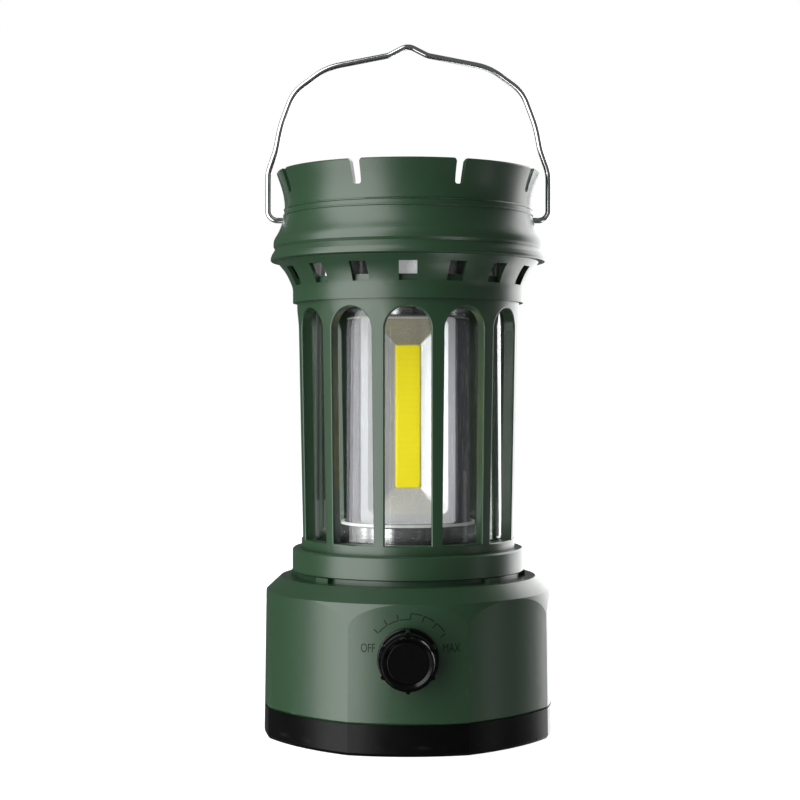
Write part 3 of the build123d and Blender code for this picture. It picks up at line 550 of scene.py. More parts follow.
@dataclass(frozen=True)
class BrightReflector:
    """Metallised moulding: a bright flat frame and pocket on a greyer drawn cylinder, with a painted
    warm reflection on the pocket's downward faces and painted light on its upward faces.
    """

    bright: Rgb = (0.66, 0.66, 0.69)
    drawn_dark: Rgb = (0.12, 0.117, 0.135)
    drawn_light: Rgb = (0.21, 0.205, 0.225)
    # warm is a painted reflection of the yellow strips on the pocket's downward faces; pale is
    # painted light on its upward faces
    warm: Rgb = (0.36, 0.33, 0.25)
    pale: Rgb = (0.66, 0.64, 0.61)
    column_radius: float = 0.0222
    pocket_top: float = 0.1476
    step: float = 0.0004
    roughness: float = 0.26

    def draw(self, name: str) -> bpy.types.Material:
        """Make the material."""
        s = Sheet(name)
        here = s.place()
        _, out = s.around(here)
        _, _, z = s.axes(here)
        skin = s.between(out, self.column_radius, self.column_radius + self.step)
        grain = s.noise(s.stretch(here, (1.0, 1.0, 0.03)), 0.0004, 4.0, 0.65)
        cloud = s.noise(here, 0.009, 3.0, 0.5)
        plate = s.blend(s.between(grain, 0.25, 0.75), self.drawn_dark, self.drawn_light)
        _, _, facing_up = s.axes(s.node("ShaderNodeTexCoord", output="Normal"))
        deck = s.between(z, self.pocket_top, self.pocket_top + self.step)
        pocket = (1 - skin) * (1 - deck)
        # painted reflection: the pocket's downward faces turn dark warm yellow; painted light: its
        # upward faces turn a paler warm tone
        painted_ceiling_reflection = pocket * s.between(facing_up * -1, 0.2, 0.5)
        painted_sill_light = pocket * s.between(facing_up, 0.2, 0.5)
        body = s.blend(skin, self.bright, plate)
        body = s.blend(painted_ceiling_reflection, body, self.warm)
        return s.surface(
            Base_Color=s.blend(painted_sill_light, body, self.pale),
            Metallic=around_value(0.30, cloud, 0.10) + skin * 0.25 + deck * 0.5,
            Roughness=around_value(self.roughness, grain, 0.12) - deck * 0.18,
            Normal=s.bump(grain, 0.000010),
        )


@dataclass(frozen=True)
class ClearPlastic:
    """Clear drawn tube or lens, with faint draw lines."""

    colour: Rgb = (0.965, 0.985, 0.975)
    line: float = 0.0016
    depth: float = 0.000003
    clarity: float = 0.006
    pillows: float = 0.0
    pillow_depth: float = 0.00010

    def draw(self, name: str) -> bpy.types.Material:
        """Make the material."""
        s = Sheet(name)
        here = s.place()
        lines = s.noise(s.stretch(here, (1.0, 1.0, 0.012)), self.line, 2.0)
        haze = s.noise(here, 0.012, 4.0, 0.6)
        relief = s.bump(lines, self.depth)
        if self.pillows:
            relief = s.bump(s.cells(here, self.pillows), self.pillow_depth, relief)
        return s.surface(
            Base_Color=self.colour,
            Roughness=around_value(self.clarity, haze, self.clarity),
            Transmission_Weight=1.0,
            IOR=1.47,
            Normal=relief,
        )


@dataclass(frozen=True)
class WhitePlastic:
    """White reflective plastic or solder mask."""

    colour: Rgb = (0.80, 0.80, 0.79)
    shade: Rgb = (0.70, 0.70, 0.70)
    roughness: float = 0.34

    def draw(self, name: str) -> bpy.types.Material:
        """Make the material."""
        s = Sheet(name)
        here = s.place()
        cloud = s.noise(here, 0.004, 4.0, 0.6)
        return s.surface(
            Base_Color=s.blend(cloud, self.shade, self.colour),
            Roughness=around_value(self.roughness, cloud, 0.12),
            Normal=s.bump(s.noise(here, 0.0004, 2.0), 0.000008),
        )


@dataclass(frozen=True)
class Phosphor:
    """Yellow phosphor gel, grainy, with the rows of chips just showing as warmer spots."""

    colour: Rgb = (0.80, 0.69, 0.012)
    warm: Rgb = (0.74, 0.56, 0.010)
    pitch: float = 0.0021
    glow: float = 0.27

    def draw(self, name: str) -> bpy.types.Material:
        """Make the material."""
        s = Sheet(name)
        here = s.place()
        _, _, z = s.axes(here)
        grain = s.noise(here, 0.00018, 2.0)
        cloud = s.noise(here, 0.003, 3.0)
        rows = (z * (tau / self.pitch)).sine() * 0.5 + 0.5
        spots = s.between(rows, 0.55, 1.0) * 0.16 + cloud * 0.22
        tone = s.blend(spots + grain * 0.10, self.colour, self.warm)
        return s.surface(
            Base_Color=tone,
            Roughness=around_value(0.40, grain, 0.16),
            Normal=s.bump(grain, 0.000012),
            Emission_Color=tone,
            Emission_Strength=self.glow,
            IOR_Level=0.15,
        )


@dataclass(frozen=True)
class CircuitBoard:
    """Green solder mask over copper tracks."""

    mask: Rgb = (0.008, 0.085, 0.035)
    track: Rgb = (0.016, 0.135, 0.055)
    pitch: float = 0.0022

    def draw(self, name: str) -> bpy.types.Material:
        """Make the material."""
        s = Sheet(name)
        here = s.place()
        x, _, _ = s.axes(here)
        wander = s.noise(here, 0.012, 1.0) * 0.006
        comb = ((x + wander) * (tau / self.pitch)).sine() * 0.5 + 0.5
        tracks = s.between(comb, 0.55, 0.68) * s.between(s.noise(here, 0.02, 0.0), 0.42, 0.48)
        return s.surface(
            Base_Color=s.blend(tracks, self.mask, self.track),
            Roughness=around_value(0.30, s.noise(here, 0.003, 3.0), 0.12),
            Normal=s.bump(tracks, 0.00003),
        )


@dataclass(frozen=True)
class Moulded:
    """Any small plain plastic or painted surface."""

    colour: Rgb
    shade: Rgb
    roughness: float = 0.45
    grain: float = 0.0005

    def draw(self, name: str) -> bpy.types.Material:
        """Make the material."""
        s = Sheet(name)
        here = s.place()
        cloud = s.noise(here, 0.004, 4.0, 0.6)
        return s.surface(
            Base_Color=s.blend(cloud, self.colour, self.shade),
            Roughness=around_value(self.roughness, cloud, 0.14),
            Normal=s.bump(s.noise(here, self.grain, 2.0), 0.000010),
        )


@dataclass(frozen=True)
class Mirror:
    """Polished chrome with light handling haze and drawn lines."""

    colour: Rgb = (0.72, 0.72, 0.73)
    tarnish: Rgb = (0.52, 0.52, 0.53)
    roughness: float = 0.07
    dimple: float = 0.0009
    depth: float = 0.000006

    def draw(self, name: str) -> bpy.types.Material:
        """Make the material."""
        s = Sheet(name)
        here = s.place()
        cloud = s.noise(here, 0.005, 4.0, 0.65)
        return s.surface(
            Base_Color=s.blend(s.between(cloud, 0.45, 0.85), self.colour, self.tarnish),
            Metallic=1.0,
            Roughness=around_value(self.roughness, cloud, 0.08),
            Normal=s.bump(s.noise(here, self.dimple, 2.0), self.depth),
        )


@dataclass(frozen=True)
class PadPrint:
    """Matt ink of the dial's marks, a little broken up."""

    ink: Rgb = (0.0020, 0.0060, 0.0030)
    thin: Rgb = (0.0070, 0.0200, 0.0100)

    def draw(self, name: str) -> bpy.types.Material:
        """Make the material."""
        s = Sheet(name)
        here = s.place()
        cloud = s.noise(here, 0.0007, 3.0, 0.6)
        return s.surface(
            Base_Color=s.blend(s.between(cloud, 0.4, 0.7), self.ink, self.thin),
            Roughness=around_value(0.55, cloud, 0.16),
            IOR_Level=0.2,
        )


class PaintShop:
    """Every finish, drawn once, and the dressing of the frame's solids with it."""

    recipes = {
        Finish.GREEN_SHELL: MouldedGreen(),
        Finish.BLACK_SHELL: SatinBlack(),
        Finish.BLACK_RUBBER: Rubber(),
        Finish.KNOB_BLACK: GlossBlack(),
        Finish.ZINC_STEEL: Metal((0.60, 0.60, 0.61), (0.46, 0.46, 0.45), 0.34),
        Finish.NICKEL: Metal((0.66, 0.64, 0.60), (0.54, 0.52, 0.48), 0.24),
        Finish.CELL_WRAP: Moulded((0.010, 0.060, 0.22), (0.014, 0.075, 0.27), 0.26),
        Finish.BOARD_GREEN: CircuitBoard(),
        Finish.CHIP_BLACK: Moulded((0.012, 0.012, 0.012), (0.022, 0.022, 0.022), 0.55),
        Finish.BRASS_PARTS: Metal((0.74, 0.53, 0.22), (0.56, 0.38, 0.15), 0.30),
        Finish.CLEAR_TUBE: ClearPlastic(),
        Finish.CLEAR_LENS: ClearPlastic(pillows=0.0036),
        Finish.BRUSHED_ALLOY: BrushedAlloy(),
        Finish.BRIGHT_REFLECTOR: BrightReflector(),
        Finish.CAST_ALLOY: CastAlloy(),
        Finish.WHITE_PLASTIC: WhitePlastic(),
        Finish.PHOSPHOR: Phosphor(),
        Finish.LEAD_SHEATH: Moulded((0.36, 0.010, 0.008), (0.44, 0.016, 0.012), 0.42),
        Finish.TORCH_CHROME: Mirror(roughness=0.12, depth=0.00001),
        Finish.CHROMED_WIRE: Mirror(),
    }

    def __init__(self) -> None:
        """Draw each finish."""
        self.materials = {
            finish: recipe.draw("finish_" + finish.value) for finish, recipe in self.recipes.items()
        }
        self.ink = PadPrint().draw("finish_dial_ink")

    def dress_frame(self, nodes: dict[str, bpy.types.Object]) -> None:
        """Give each solid the finish that its slot names.

        Args:
            nodes: The frame's solids by name.
        """
        for name, solid in sorted(nodes.items()):
            for slot in solid.material_slots:
                finish = Finish(slot.material.name.split(".")[0])
                slot.material = self.materials[finish]
            log.info("dressed %s", name)

    def dress(self, piece: bpy.types.Object, finish: Finish) -> None:
        """Finish a piece made here.

        Args:
            piece: The mesh.
            finish: What it is made of.
        """
        piece.data.materials.clear()
        piece.data.materials.append(self.materials[finish])


# ---------------------------------------------------------------- mesh work


@dataclass
class Shape:
    """Points in millimetres and faces, gathered for one mesh."""

    points: list[Point] = field(default_factory=list)
    faces: list[tuple[int, ...]] = field(default_factory=list)

    def row(self, points: Iterable[Point]) -> list[int]:
        """Add a row of points.

        Args:
            points: The points in order.

        Returns:
            Their numbers.
        """
        start = len(self.points)
        self.points.extend(tuple(p) for p in points)
        return list(range(start, len(self.points)))

    def skin(self, first: list[int], second: list[int]) -> None:
        """Span two rings of equal length with quads.

        Args:
            first: Numbers of one ring.
            second: Numbers of the next.
        """
        count = len(first)
        for i in range(count):
            j = (i + 1) % count
            self.faces.append((first[i], first[j], second[j], second[i]))

    def stack(self, rows: list[list[int]]) -> None:
        """Span each ring of a stack to the next.

        Args:
            rows: Numbers of each ring, in order.
        """
        for first, second in zip(rows, rows[1:]):
            self.skin(first, second)

    def lid(self, ring: list[int], centre: Point) -> None:
        """Close a ring with a fan.

        Args:
            ring: Numbers of the ring.
            centre: The fan's middle.
        """
        (middle,) = self.row([centre])
        for i, number in enumerate(ring):
            self.faces.append((number, ring[(i + 1) % len(ring)], middle))

    def build(self, name: str, smooth: float | None = 35.0) -> bpy.types.Object:
        """Turn the gathered points into an object in the row frame.

        Args:
            name: The object's name.
            smooth: Edges that turn less than this many degrees are shaded smooth.

        Returns:
            The object, linked to the scene.
        """
        mesh = bpy.data.meshes.new(name)
        mesh.from_pydata([tuple(c * MM for c in p) for p in self.points], [], self.faces)
        return finish_mesh(mesh, name, smooth)


def finish_mesh(mesh: bpy.types.Mesh, name: str, smooth: float | None) -> bpy.types.Object:
    """Weld a mesh, turn its faces outwards and link it.

    Args:
        mesh: The mesh to finish.
        name: The object's name.
        smooth: Edges that turn less than this many degrees are shaded smooth.

    Returns:
        The object.
    """
    work = bmesh.new()
    work.from_mesh(mesh)
    bmesh.ops.remove_doubles(work, verts=work.verts, dist=WELD)
    bmesh.ops.recalc_face_normals(work, faces=work.faces)
    limit = radians(smooth or 0.0)
    for face in work.faces:
        face.smooth = smooth is not None
    for edge in work.edges:
        if len(edge.link_faces) == 2:
            edge.smooth = edge.calc_face_angle(0.0) < limit
    work.to_mesh(mesh)
    work.free()
    thing = bpy.data.objects.new(name, mesh)
    bpy.context.scene.collection.objects.link(thing)
    return thing


def circle(radius: float, count: int, at: Callable[[float, float], Point]) -> list[Point]:
    """Points round a circle.

    Args:
        radius: Its radius in millimetres.
        count: How many points.
        at: Turns two flat coordinates into a point.

    Returns:
        The points.
    """
    return [at(radius * cos(i * tau / count), radius * sin(i * tau / count)) for i in range(count)]


# ---------------------------------------------------------------- sub-assemblies


@dataclass
class Sole:
    """Moulded rubber sole with rings of tread blocks and a plain rim."""

    radius: float = 38.0
    thickness: float = 1.4
    edge: float = 0.4
    rim: float = 3.0
    groove: float = 0.7
    groove_half_width: float = 1.0
    groove_slope: float = 0.45
    ring_pitch: float = 7.5
    ringless: float = 4.0
    spokeless: float = 8.0
    blocks: int = 24
    segments: int = 288
    ring_count: int = 76

    def underside(self, radius: float, turn: float) -> float:
        """Height of the tread's face above the ground.

        Args:
            radius: Distance from the middle in millimetres.
            turn: Angle in radians.

        Returns:
            The height in millimetres.
        """
        if radius > self.radius - self.rim:
            return 0.0
        across = abs((radius / self.ring_pitch) % 1.0 - 0.5) * self.ring_pitch
        ring = round(radius / self.ring_pitch)
        along = abs((turn / tau * self.blocks + 0.5 * (ring % 2)) % 1.0 - 0.5)
        along *= tau * max(radius, self.ringless) / self.blocks
        gap = self.ring_pitch
        if radius > self.ringless:
            gap = min(gap, self.ring_pitch / 2 - across)
        if radius > self.spokeless:
            gap = min(gap, along)
        return self.groove * min(1.0, max(0.0, (self.groove_half_width - gap) / self.groove_slope))

    def build(self, shop: PaintShop) -> None:
        """Make the sole and put it in the plain one's place."""
        shape = Shape()
        rows = []
        for i in range(1, self.ring_count + 1):
            r = (self.radius - self.edge) * i / self.ring_count
            rows.append(
                shape.row(
                    (r * cos(a), r * sin(a), self.underside(r, a))
                    for a in (k * tau / self.segments for k in range(self.segments))
                )
            )
        for z in (self.edge, self.thickness):
            rows.append(shape.row(circle(self.radius, self.segments, lambda x, y, z=z: (x, y, z))))
        shape.stack(rows)
        shape.lid(rows[0], (0.0, 0.0, 0.0))
        shape.lid(rows[-1], (0.0, 0.0, self.thickness))
        sole = shape.build("sole_tread")
        shop.dress(sole, Finish.BLACK_RUBBER)
        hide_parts("rubber_sole")
        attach(sole, Body.LANTERN.value)
        log.info("sole_tread: %d faces", len(sole.data.polygons))


@dataclass
class Dial:
    """Print round the knob: a stepped scale between two words, on the bowed front face."""

    knob_height: float = 33.0
    inner: float = 12.9
    outer: float = 14.9
    line: float = 0.36
    first_turn: float = -50.0
    last_turn: float = 57.0
    marks: int = 7
    tick_gap: float = 2.0
    step_gap: float = 3.0
    arc_parts: int = 8
    ink_thickness: float = 0.05
    ink_lift: float = 0.01
    standoff: float = 200.0
    letter_height: float = 3.0
    capital_share: float = 0.72
    narrowing: float = 0.66
    words: tuple[tuple[str, float], ...] = (("OFF", -13.4), ("MAX", 14.4))
    word_height: float = 36.4

    def wall(self) -> BVHTree:
        """The case's surface, for laying the print on."""
        mesh = frame["nodes"]["base_shell"].data
        return BVHTree.FromPolygons(
            [v.co.copy() for v in mesh.vertices], [tuple(p.vertices) for p in mesh.polygons]
        )

    def strip(self, path: Sequence[tuple[float, float]]) -> tuple[list[Point], list[tuple[int, ...]]]:
        """A line of even width along a flat path.

        Args:
            path: Points in millimetres from the knob's middle.

        Returns:
            The points and quads of the line.
        """
        points: list[Point] = []
        for i, (x, z) in enumerate(path):
            ahead = path[min(i + 1, len(path) - 1)]
            behind = path[max(i - 1, 0)]
            along = Vector((ahead[0] - behind[0], ahead[1] - behind[1])).normalized()
            side = Vector((-along.y, along.x)) * self.line / 2
            points += [(x + side.x, z + side.y, 0.0), (x - side.x, z - side.y, 0.0)]
        faces = [(2 * i, 2 * i + 1, 2 * i + 3, 2 * i + 2) for i in range(len(path) - 1)]
        return points, faces

    def polar(self, radius: float, turn: float) -> tuple[float, float]:
        """Flat point at a radius and a clockwise turn from the top, in degrees."""
        return radius * sin(radians(turn)), radius * cos(radians(turn))

    def scale(self, work: bmesh.types.BMesh) -> None:
        """Add the ticks and the steps between them.

        Args:
            work: Where the flat print is gathered, in millimetres.
        """
        step = (self.last_turn - self.first_turn) / (self.marks - 1)
        for i in range(self.marks):
            turn = self.first_turn + i * step
            self.add(work, *self.strip([self.polar(self.inner, turn), self.polar(self.outer, turn)]))
            if i == self.marks - 1:
                continue
            rising = turn + step / 2 < 0
            level, start = (self.inner, turn + self.tick_gap) if rising else (self.outer, turn)
            part = (step - self.step_gap) / self.arc_parts
            arc = [self.polar(level, start + part * k) for k in range(self.arc_parts + 1)]
            self.add(work, *self.strip(arc))

    def add(
        self, work: bmesh.types.BMesh, points: Sequence[Point], faces: Sequence[tuple[int, ...]]
    ) -> None:
        """Add flat faces about the knob's middle.

        Args:
            work: Where the flat print is gathered.
            points: Flat points in millimetres.
            faces: Their faces.
        """
        made = [work.verts.new((x, 0.0, z + self.knob_height)) for x, z, _ in points]
        for face in faces:
            work.faces.new([made[i] for i in face])

    def lettering(self, work: bmesh.types.BMesh, text: str, middle: float) -> None:
        """Add a word.

        Args:
            work: Where the flat print is gathered.
            text: The word.
            middle: Its middle along X in millimetres.
        """
        curve = bpy.data.curves.new("word", "FONT")
        curve.body = text
        curve.size = self.letter_height / self.capital_share
        curve.align_x = "CENTER"
        curve.resolution_u = 6
        thing = bpy.data.objects.new("word", curve)
        bpy.context.scene.collection.objects.link(thing)
        bpy.context.view_layer.update()
        flat = bpy.data.meshes.new_from_object(
            thing.evaluated_get(bpy.context.evaluated_depsgraph_get())
        )
        lift = self.word_height - self.knob_height - self.letter_height / 2
        points = [(v.co.x * self.narrowing + middle, v.co.y + lift, 0.0) for v in flat.vertices]
        self.add(work, points, [tuple(p.vertices) for p in flat.polygons])
        bpy.data.objects.remove(thing)
        bpy.data.curves.remove(curve)
        bpy.data.meshes.remove(flat)

    def build(self, shop: PaintShop) -> None:
        """Print the dial on the case."""
        work = bmesh.new()
        self.scale(work)
        for text, middle in self.words:
            self.lettering(work, text, middle)
        wall = self.wall()
        for vert in work.verts:
            x, _, z = vert.co * MM
            hit = wall.ray_cast(Vector((x, -self.standoff * MM, z)), Vector((0.0, 1.0, 0.0)))[0]
            vert.co = Vector((x, hit.y + self.ink_lift * MM, z))
        lifted = bmesh.ops.extrude_face_region(work, geom=work.faces[:])["geom"]
        for item in lifted:
            if isinstance(item, bmesh.types.BMVert):
                item.co.y -= (self.ink_thickness + self.ink_lift) * MM
        mesh = bpy.data.meshes.new("dial_print")
        work.to_mesh(mesh)
        work.free()
        dial = finish_mesh(mesh, "dial_print", 20.0)
        dial.data.materials.append(shop.ink)
        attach(dial, Body.LANTERN.value)
        log.info("dial_print: %d faces", len(dial.data.polygons))


@dataclass
class KnobDress:
    """Round-ended ribs on the grip's six lobes, which turn with the knob."""

    centre: float = 33.0
    seat: float = 9.42
    radius: float = 0.82
    back: float = 53.6
    front: float = 60.6
    sides: int = 20
    round_rings: int = 6
    ribs: int = 6

    def rib(self, shape: Shape, turn: float) -> None:
        """Add one rib.

        Args:
            shape: Where it is gathered.
            turn: Its place round the knob, in degrees from the top.
        """
        cx = self.seat * sin(radians(turn))
        cz = self.centre + self.seat * cos(radians(turn))
        rows = []
        profile = [(self.radius, self.back)]
        profile += [
            (self.radius * cos(a), self.front + self.radius * sin(a))
            for a in (k * pi / 2 / self.round_rings for k in range(self.round_rings))
        ]
        for r, reach in profile:
            rows.append(
                shape.row(circle(r, self.sides, lambda x, z, y=reach: (cx + x, -y, cz + z)))
            )
        shape.stack(rows)
        shape.lid(rows[0], (cx, -self.back, cz))
        shape.lid(rows[-1], (cx, -self.front - self.radius, cz))

    def build(self, shop: PaintShop) -> None:
        """Make the ribs and let them turn with the knob."""
        shape = Shape()
        for i in range(self.ribs):
            self.rib(shape, 360.0 * i / self.ribs)
        ribs = shape.build("knob_ribs", 60.0)
        shop.dress(ribs, Finish.KNOB_BLACK)
        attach(ribs, Body.DIMMER.value)
        log.info("knob_ribs: %d faces", len(ribs.data.polygons))


@dataclass
class LedStrips:
    """Low domes of phosphor gel on the three strips."""

    reach: float = 9.6
    width: float = 8.7
    length: float = 50.7
    centre: float = 112.7
    corner: float = 0.6
    lamps: int = 3
    corner_parts: int = 6
    dome: tuple[tuple[float, float], ...] = (
        (0.0, 0.0),
        (0.0, 0.22),
        (0.08, 0.40),
        (0.24, 0.54),
        (0.5, 0.63),
        (1.1, 0.68),
        (2.0, 0.695),
        (3.4, 0.70),
    )

    def outline(self, inset: float) -> list[tuple[float, float]]:
        """Rounded rectangle, drawn in by an inset.

        Args:
            inset: Distance inside the strip's edge in millimetres.

        Returns:
            Flat points in order.
        """
        half_w, half_l = self.width / 2 - inset, self.length / 2 - inset
        r = max(0.05, self.corner - inset * 0.3)
        points = []
        for i, (sx, sz) in enumerate(((1, 1), (-1, 1), (-1, -1), (1, -1))):
            for k in range(self.corner_parts + 1):
                a = (i + k / self.corner_parts) * pi / 2
                points.append((sx * (half_w - r) + r * cos(a), sz * (half_l - r) + r * sin(a)))
        return points

    def build(self, shop: PaintShop) -> None:
        """Make the gel of all three strips."""
        shape = Shape()
        for lamp in range(self.lamps):
            a = tau * lamp / self.lamps
            rows = []
            for inset, lift in self.dome:
                d = self.reach + lift
                rows.append(
                    shape.row(
                        (u * cos(a) + d * sin(a), u * sin(a) - d * cos(a), self.centre + v)
                        for u, v in self.outline(inset)
                    )
                )
            shape.stack(rows)
            shape.faces.append(tuple(rows[-1]))
            shape.faces.append(tuple(reversed(rows[0])))
        gel = shape.build("cob_gel", 50.0)
        shop.dress(gel, Finish.PHOSPHOR)
        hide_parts("cob_phosphors")
        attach(gel, Body.LANTERN.value)
        log.info("cob_gel: %d faces", len(gel.data.polygons))


@dataclass
class Torch:
    """Faceted dish and domed emitter of the upward lamp."""

    deck: float = 168.0
    throat: float = 5.0
    rim: float = 38.6
    flange: float = 42.1
    flange_bottom: float = 186.4
    flange_inner: float = 40.0
    back_radii: tuple[float, ...] = (37.6, 31.0, 23.0, 14.0, 7.0)
    throat_height: float = 172.0
    flatness: float = 96.4
    wall: float = 1.6
    petals: int = 28
    bands: int = 9
    split: int = 4
    bulge: float = 0.16
    board: float = 1.6
    chip_half: float = 2.5
    chip_height: float = 0.8
    chip_chamfer: float = 0.15
    chip_corner: float = 1.32
    dome_radius: float = 2.1
    dome_height: float = 1.3
    chip_points: int = 48
    dome_rings: int = 9

    def height(self, radius: float) -> float:
        """Height of the parabola at a radius."""
        return self.throat_height + (radius**2 - self.throat**2) / self.flatness

    def dish(self, shop: PaintShop) -> None:
        """Make the dish, with each facet slightly bowed."""
        shape = Shape()
        around = self.petals * self.split
        steps = self.bands * self.split
        rows = []
        for i in range(steps + 1):
            r = self.throat + (self.rim - self.throat) * i / steps
            bow_r = sin(pi * (i / self.split % 1.0))
            ring = []
            for k in range(around):
                bow_a = sin(pi * (k / self.split % 1.0))
                a = k * tau / around + (tau / self.petals / 2 if (i // self.split) % 2 else 0.0)
                lift = self.bulge * bow_r * bow_a
                ring.append((r * cos(a), r * sin(a), self.height(r) + lift))
            rows.append(shape.row(ring))
        outside = [
            (self.flange, self.height(self.rim)),
            (self.flange, self.flange_bottom),
            (self.flange_inner, self.flange_bottom),
        ]
        outside += [(r, self.height(r) - self.wall) for r in self.back_radii]
        outside.append((self.throat, outside[-1][1]))
        for r, z in outside:
            rows.append(shape.row(circle(r, around, lambda x, y, z=z: (x, y, z))))
        shape.stack(rows + rows[:1])
        dish = shape.build("torch_dish", 28.0)
        shop.dress(dish, Finish.TORCH_CHROME)
        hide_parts("torch_reflector")
        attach(dish, Body.LANTERN.value)
        log.info("torch_dish: %d faces", len(dish.data.polygons))

    def emitter(self, shop: PaintShop) -> None:
        """Make the chip with its round dome."""
        shape = Shape()
        base = self.deck + self.board
        top = base + self.chip_height
        rows = []
        for inset, z in (
            (0.0, base),
            (0.0, top - self.chip_chamfer),
            (self.chip_chamfer, top),
            (2 * self.chip_chamfer, top),
        ):
            half = self.chip_half - inset
            ring = []
            for k in range(self.chip_points):
                a = k * tau / self.chip_points
                reach = min(half / max(abs(cos(a)), abs(sin(a))), half * self.chip_corner)
                ring.append((reach * cos(a), reach * sin(a), z))
            rows.append(shape.row(ring))
        for k in range(self.dome_rings):
            a = k * pi / 2 / self.dome_rings
            r, z = self.dome_radius * cos(a), top + self.dome_height * sin(a)
            rows.append(shape.row(circle(r, self.chip_points, lambda x, y, z=z: (x, y, z))))
        shape.stack(rows)
        shape.lid(rows[0], (0.0, 0.0, base))
        shape.lid(rows[-1], (0.0, 0.0, top + self.dome_height))
        chip = shape.build("torch_emitter", 40.0)
        shop.dress(chip, Finish.PHOSPHOR)
        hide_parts("torch_led")
        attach(chip, Body.LANTERN.value)
        log.info("torch_emitter: %d faces", len(chip.data.polygons))

    def build(self, shop: PaintShop) -> None:
        """Make both pieces."""
        self.dish(shop)
        self.emitter(shop)


@dataclass
class FlapGrip:
    """Finger ribs on the charging cover, which swing with it."""

    face: float = 50.6
    width: float = 11.0
    rib_height: float = 0.26
    rib_width: float = 0.7
    root: float = -0.1
    points: int = 32
    levels: tuple[float, ...] = (31.2, 32.6, 34.0)

    def build(self, shop: PaintShop) -> None:
        """Make the ribs."""
        shape = Shape()
        for level in self.levels:
            rows = []
            for inset, lift in ((0.0, self.root), (0.0, 0.1), (0.1, 0.2), (0.26, self.rib_height)):
                half_w, half_h = self.width / 2 - inset, self.rib_width / 2 - inset
                ring = []
                for k in range(self.points):
                    a = k * tau / self.points
                    middle = (half_w - half_h) * (1 if cos(a) >= 0 else -1)
                    x = cos(a) * half_h + middle
                    ring.append((x, self.face + lift, level + half_h * sin(a)))
                rows.append(shape.row(ring))
            shape.stack(rows)
            shape.lid(rows[0], (0.0, self.face + self.root, level))
            shape.lid(rows[-1], (0.0, self.face + self.rib_height, level))
        ribs = shape.build("flap_ribs", 45.0)
        shop.dress(ribs, Finish.BLACK_RUBBER)
        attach(ribs, Body.PORT_FLAP.value)
        log.info("flap_ribs: %d faces", len(ribs.data.polygons))


# ---------------------------------------------------------------- studio


@dataclass(frozen=True)
class Panel:
    """A flat soft light aimed at the lantern's middle."""

    name: str
    turn: float
    tilt: float
    distance: float
    width: float
    height: float
    radiance: float
    through_glass: bool = False
    colour: Rgb = (1.0, 1.0, 1.0)

    def hang(self, aim: Vector) -> bpy.types.Object:
        """Put the light up.

        Args:
            aim: The point that it faces.

        Returns:
            The light.
        """
        lamp = bpy.data.lights.new(self.name, "AREA")
        lamp.shape = "RECTANGLE"
        lamp.size, lamp.size_y = self.width, self.height
        lamp.energy = self.radiance * pi * self.width * self.height
        lamp.color = self.colour
        a, e = radians(self.turn), radians(self.tilt)
        out = Vector((sin(a) * cos(e), -cos(a) * cos(e), sin(e)))
        thing = bpy.data.objects.new(self.name, lamp)
        thing.location = aim + out * self.distance
        thing.rotation_euler = out.to_track_quat("Z", "Y").to_euler()
        thing.visible_camera = False
        thing.visible_transmission = self.through_glass
        bpy.context.scene.collection.objects.link(thing)
        return thing


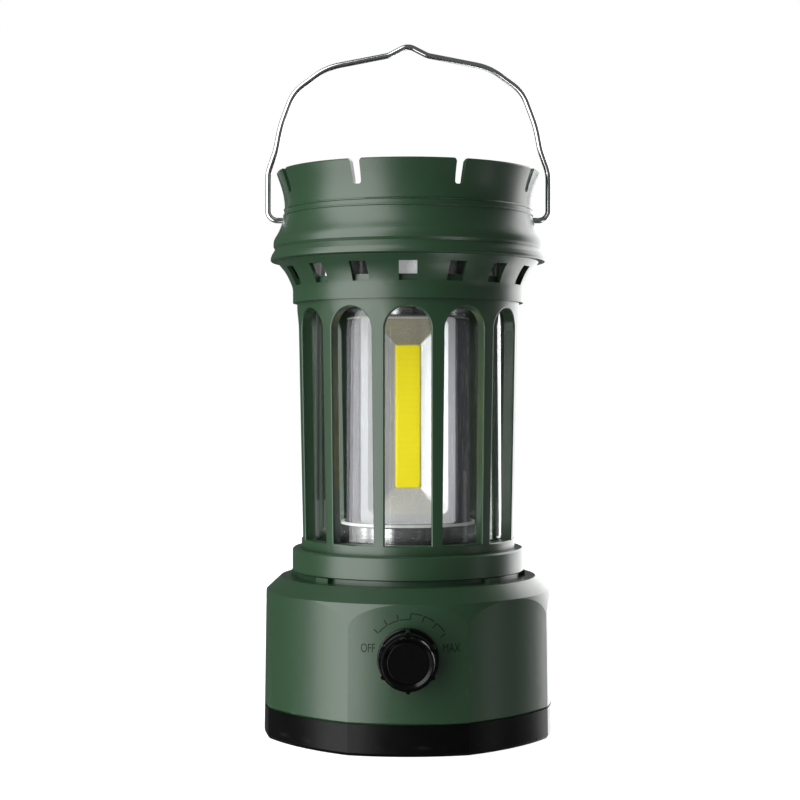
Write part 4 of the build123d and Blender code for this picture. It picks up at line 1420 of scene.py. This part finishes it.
@dataclass
class Studio:
    """White room for the camera, dusk for clear parts, dim air and four soft lights."""

    air: Rgb = (0.122, 0.126, 0.128)
    aim: Vector = field(default_factory=lambda: Vector((0.0, 0.0, 0.115)))
    panels: tuple[Panel, ...] = (
        Panel("key_softbox", -51.0, 11.0, 1.25, 1.50, 3.10, 3.7, True),
        Panel("rim_panel", 142.0, 3.0, 1.10, 1.02, 1.50, 3.5),
        Panel("kick_panel", 74.0, -14.0, 1.00, 0.16, 0.36, 1.0),
        Panel("low_panel", 50.0, -50.0, 0.80, 0.24, 0.24, 3.0),
    )
    dome_radius: float = 6000.0
    floor_drop: float = 0.02
    horizon: float = 0.05
    dome_rings: int = 12
    behind_glass: float = 0.035
    focal_length: float = 77.1
    film_width: float = 36.0
    shift: tuple[float, float] = (-0.0101, -0.0125)
    camera_distance: float = 0.619
    camera_height: float = 0.122

    def white(self, name: str, glow: float, shade: float) -> bpy.types.Material:
        """Plain bright material of the room.

        Args:
            name: The material's name.
            glow: Light it gives off by itself.
            shade: How much light it returns.

        Returns:
            The material.
        """
        return Sheet(name).surface(
            Base_Color=(shade, shade, shade),
            Roughness=1.0,
            IOR_Level=0.0,
            Emission_Color=(1.0, 1.0, 1.0),
            Emission_Strength=glow,
        )

    def room(self) -> None:
        """Make the floor and dome that the camera sees, and the dusk seen through clear parts."""
        floor = Shape()
        rows = [
            floor.row(circle(r, 96, lambda x, y: (x, y, -self.floor_drop)))
            for r in (60.0, 200.0, 800.0, self.dome_radius)
        ]
        floor.stack(rows)
        floor.lid(rows[0], (0.0, 0.0, -self.floor_drop))
        ground = floor.build("studio_floor", None)
        ground.data.materials.append(self.white("studio_floor", 0.95, 0.5))
        sky = Shape()
        rows = []
        for k in range(self.dome_rings + 1):
            e = -self.horizon + k * (pi / 2 - self.horizon) / self.dome_rings
            r, z = self.dome_radius * cos(e), self.dome_radius * sin(e)
            rows.append(sky.row(circle(r, 48, lambda x, y, z=z: (x, y, z))))
        sky.stack(rows)
        sky.lid(rows[-1], (0.0, 0.0, self.dome_radius))
        dome = sky.build("studio_dome", 180.0)
        dome.data.materials.append(self.white("studio_dome", 1.0, 0.0))
        for thing in (ground, dome):
            thing.visible_transmission = False
        dusk = sky.build("studio_dusk", 180.0)
        dusk.data.materials.append(self.white("studio_dusk", self.behind_glass, 0.0))
        dusk.visible_camera = False
        for thing in (ground, dome, dusk):
            thing.visible_diffuse = False
            thing.visible_glossy = False
            thing.visible_shadow = False

    def world(self) -> None:
        """Fill the room with dim even light."""
        world = bpy.data.worlds.new("studio_air")
        world.use_nodes = True
        world.node_tree.nodes["Background"].inputs["Color"].default_value = (*self.air, 1.0)
        bpy.context.scene.world = world

    def camera(self) -> None:
        """Stand the camera level in front of the lantern."""
        lens = bpy.data.cameras.new("camera")
        lens.lens = self.focal_length
        lens.sensor_width = self.film_width
        lens.shift_x, lens.shift_y = self.shift
        lens.clip_start, lens.clip_end = 0.02, 50.0
        stand = bpy.data.objects.new("camera", lens)
        stand.location = (0.0, -self.camera_distance, self.camera_height)
        stand.rotation_euler = (pi / 2, 0.0, 0.0)
        bpy.context.scene.collection.objects.link(stand)
        bpy.context.scene.camera = stand

    def build(self) -> None:
        """Set everything up."""
        self.room()
        self.world()
        for panel in self.panels:
            panel.hang(self.aim)
            log.info("light %s", panel.name)
        self.camera()
        settings = bpy.context.scene.view_settings
        settings.view_transform = "Standard"
        settings.look = "None"


# ---------------------------------------------------------------- the whole lantern


@dataclass
class Lantern:
    """The lantern's fine pieces and finishes, in the order they are made."""

    sole: Sole = field(default_factory=Sole)
    dial: Dial = field(default_factory=Dial)
    knob: KnobDress = field(default_factory=KnobDress)
    strips: LedStrips = field(default_factory=LedStrips)
    torch: Torch = field(default_factory=Torch)
    flap: FlapGrip = field(default_factory=FlapGrip)
    clear_solids: tuple[str, ...] = ("chimney", "torch_lens")

    def build(self, shop: PaintShop) -> None:
        """Dress the frame and make each piece."""
        shop.dress_frame(frame["nodes"])
        for name in self.clear_solids:
            frame["nodes"][name].visible_shadow = False
        for part in (self.sole, self.dial, self.knob, self.strips, self.torch, self.flap):
            part.build(shop)


def main() -> None:
    """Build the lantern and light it."""
    logging.basicConfig(level=logging.INFO, format="%(name)s: %(message)s")
    Lantern().build(PaintShop())
    Studio().build()
    bpy.context.view_layer.update()


if __name__ == "__main__":
    main()
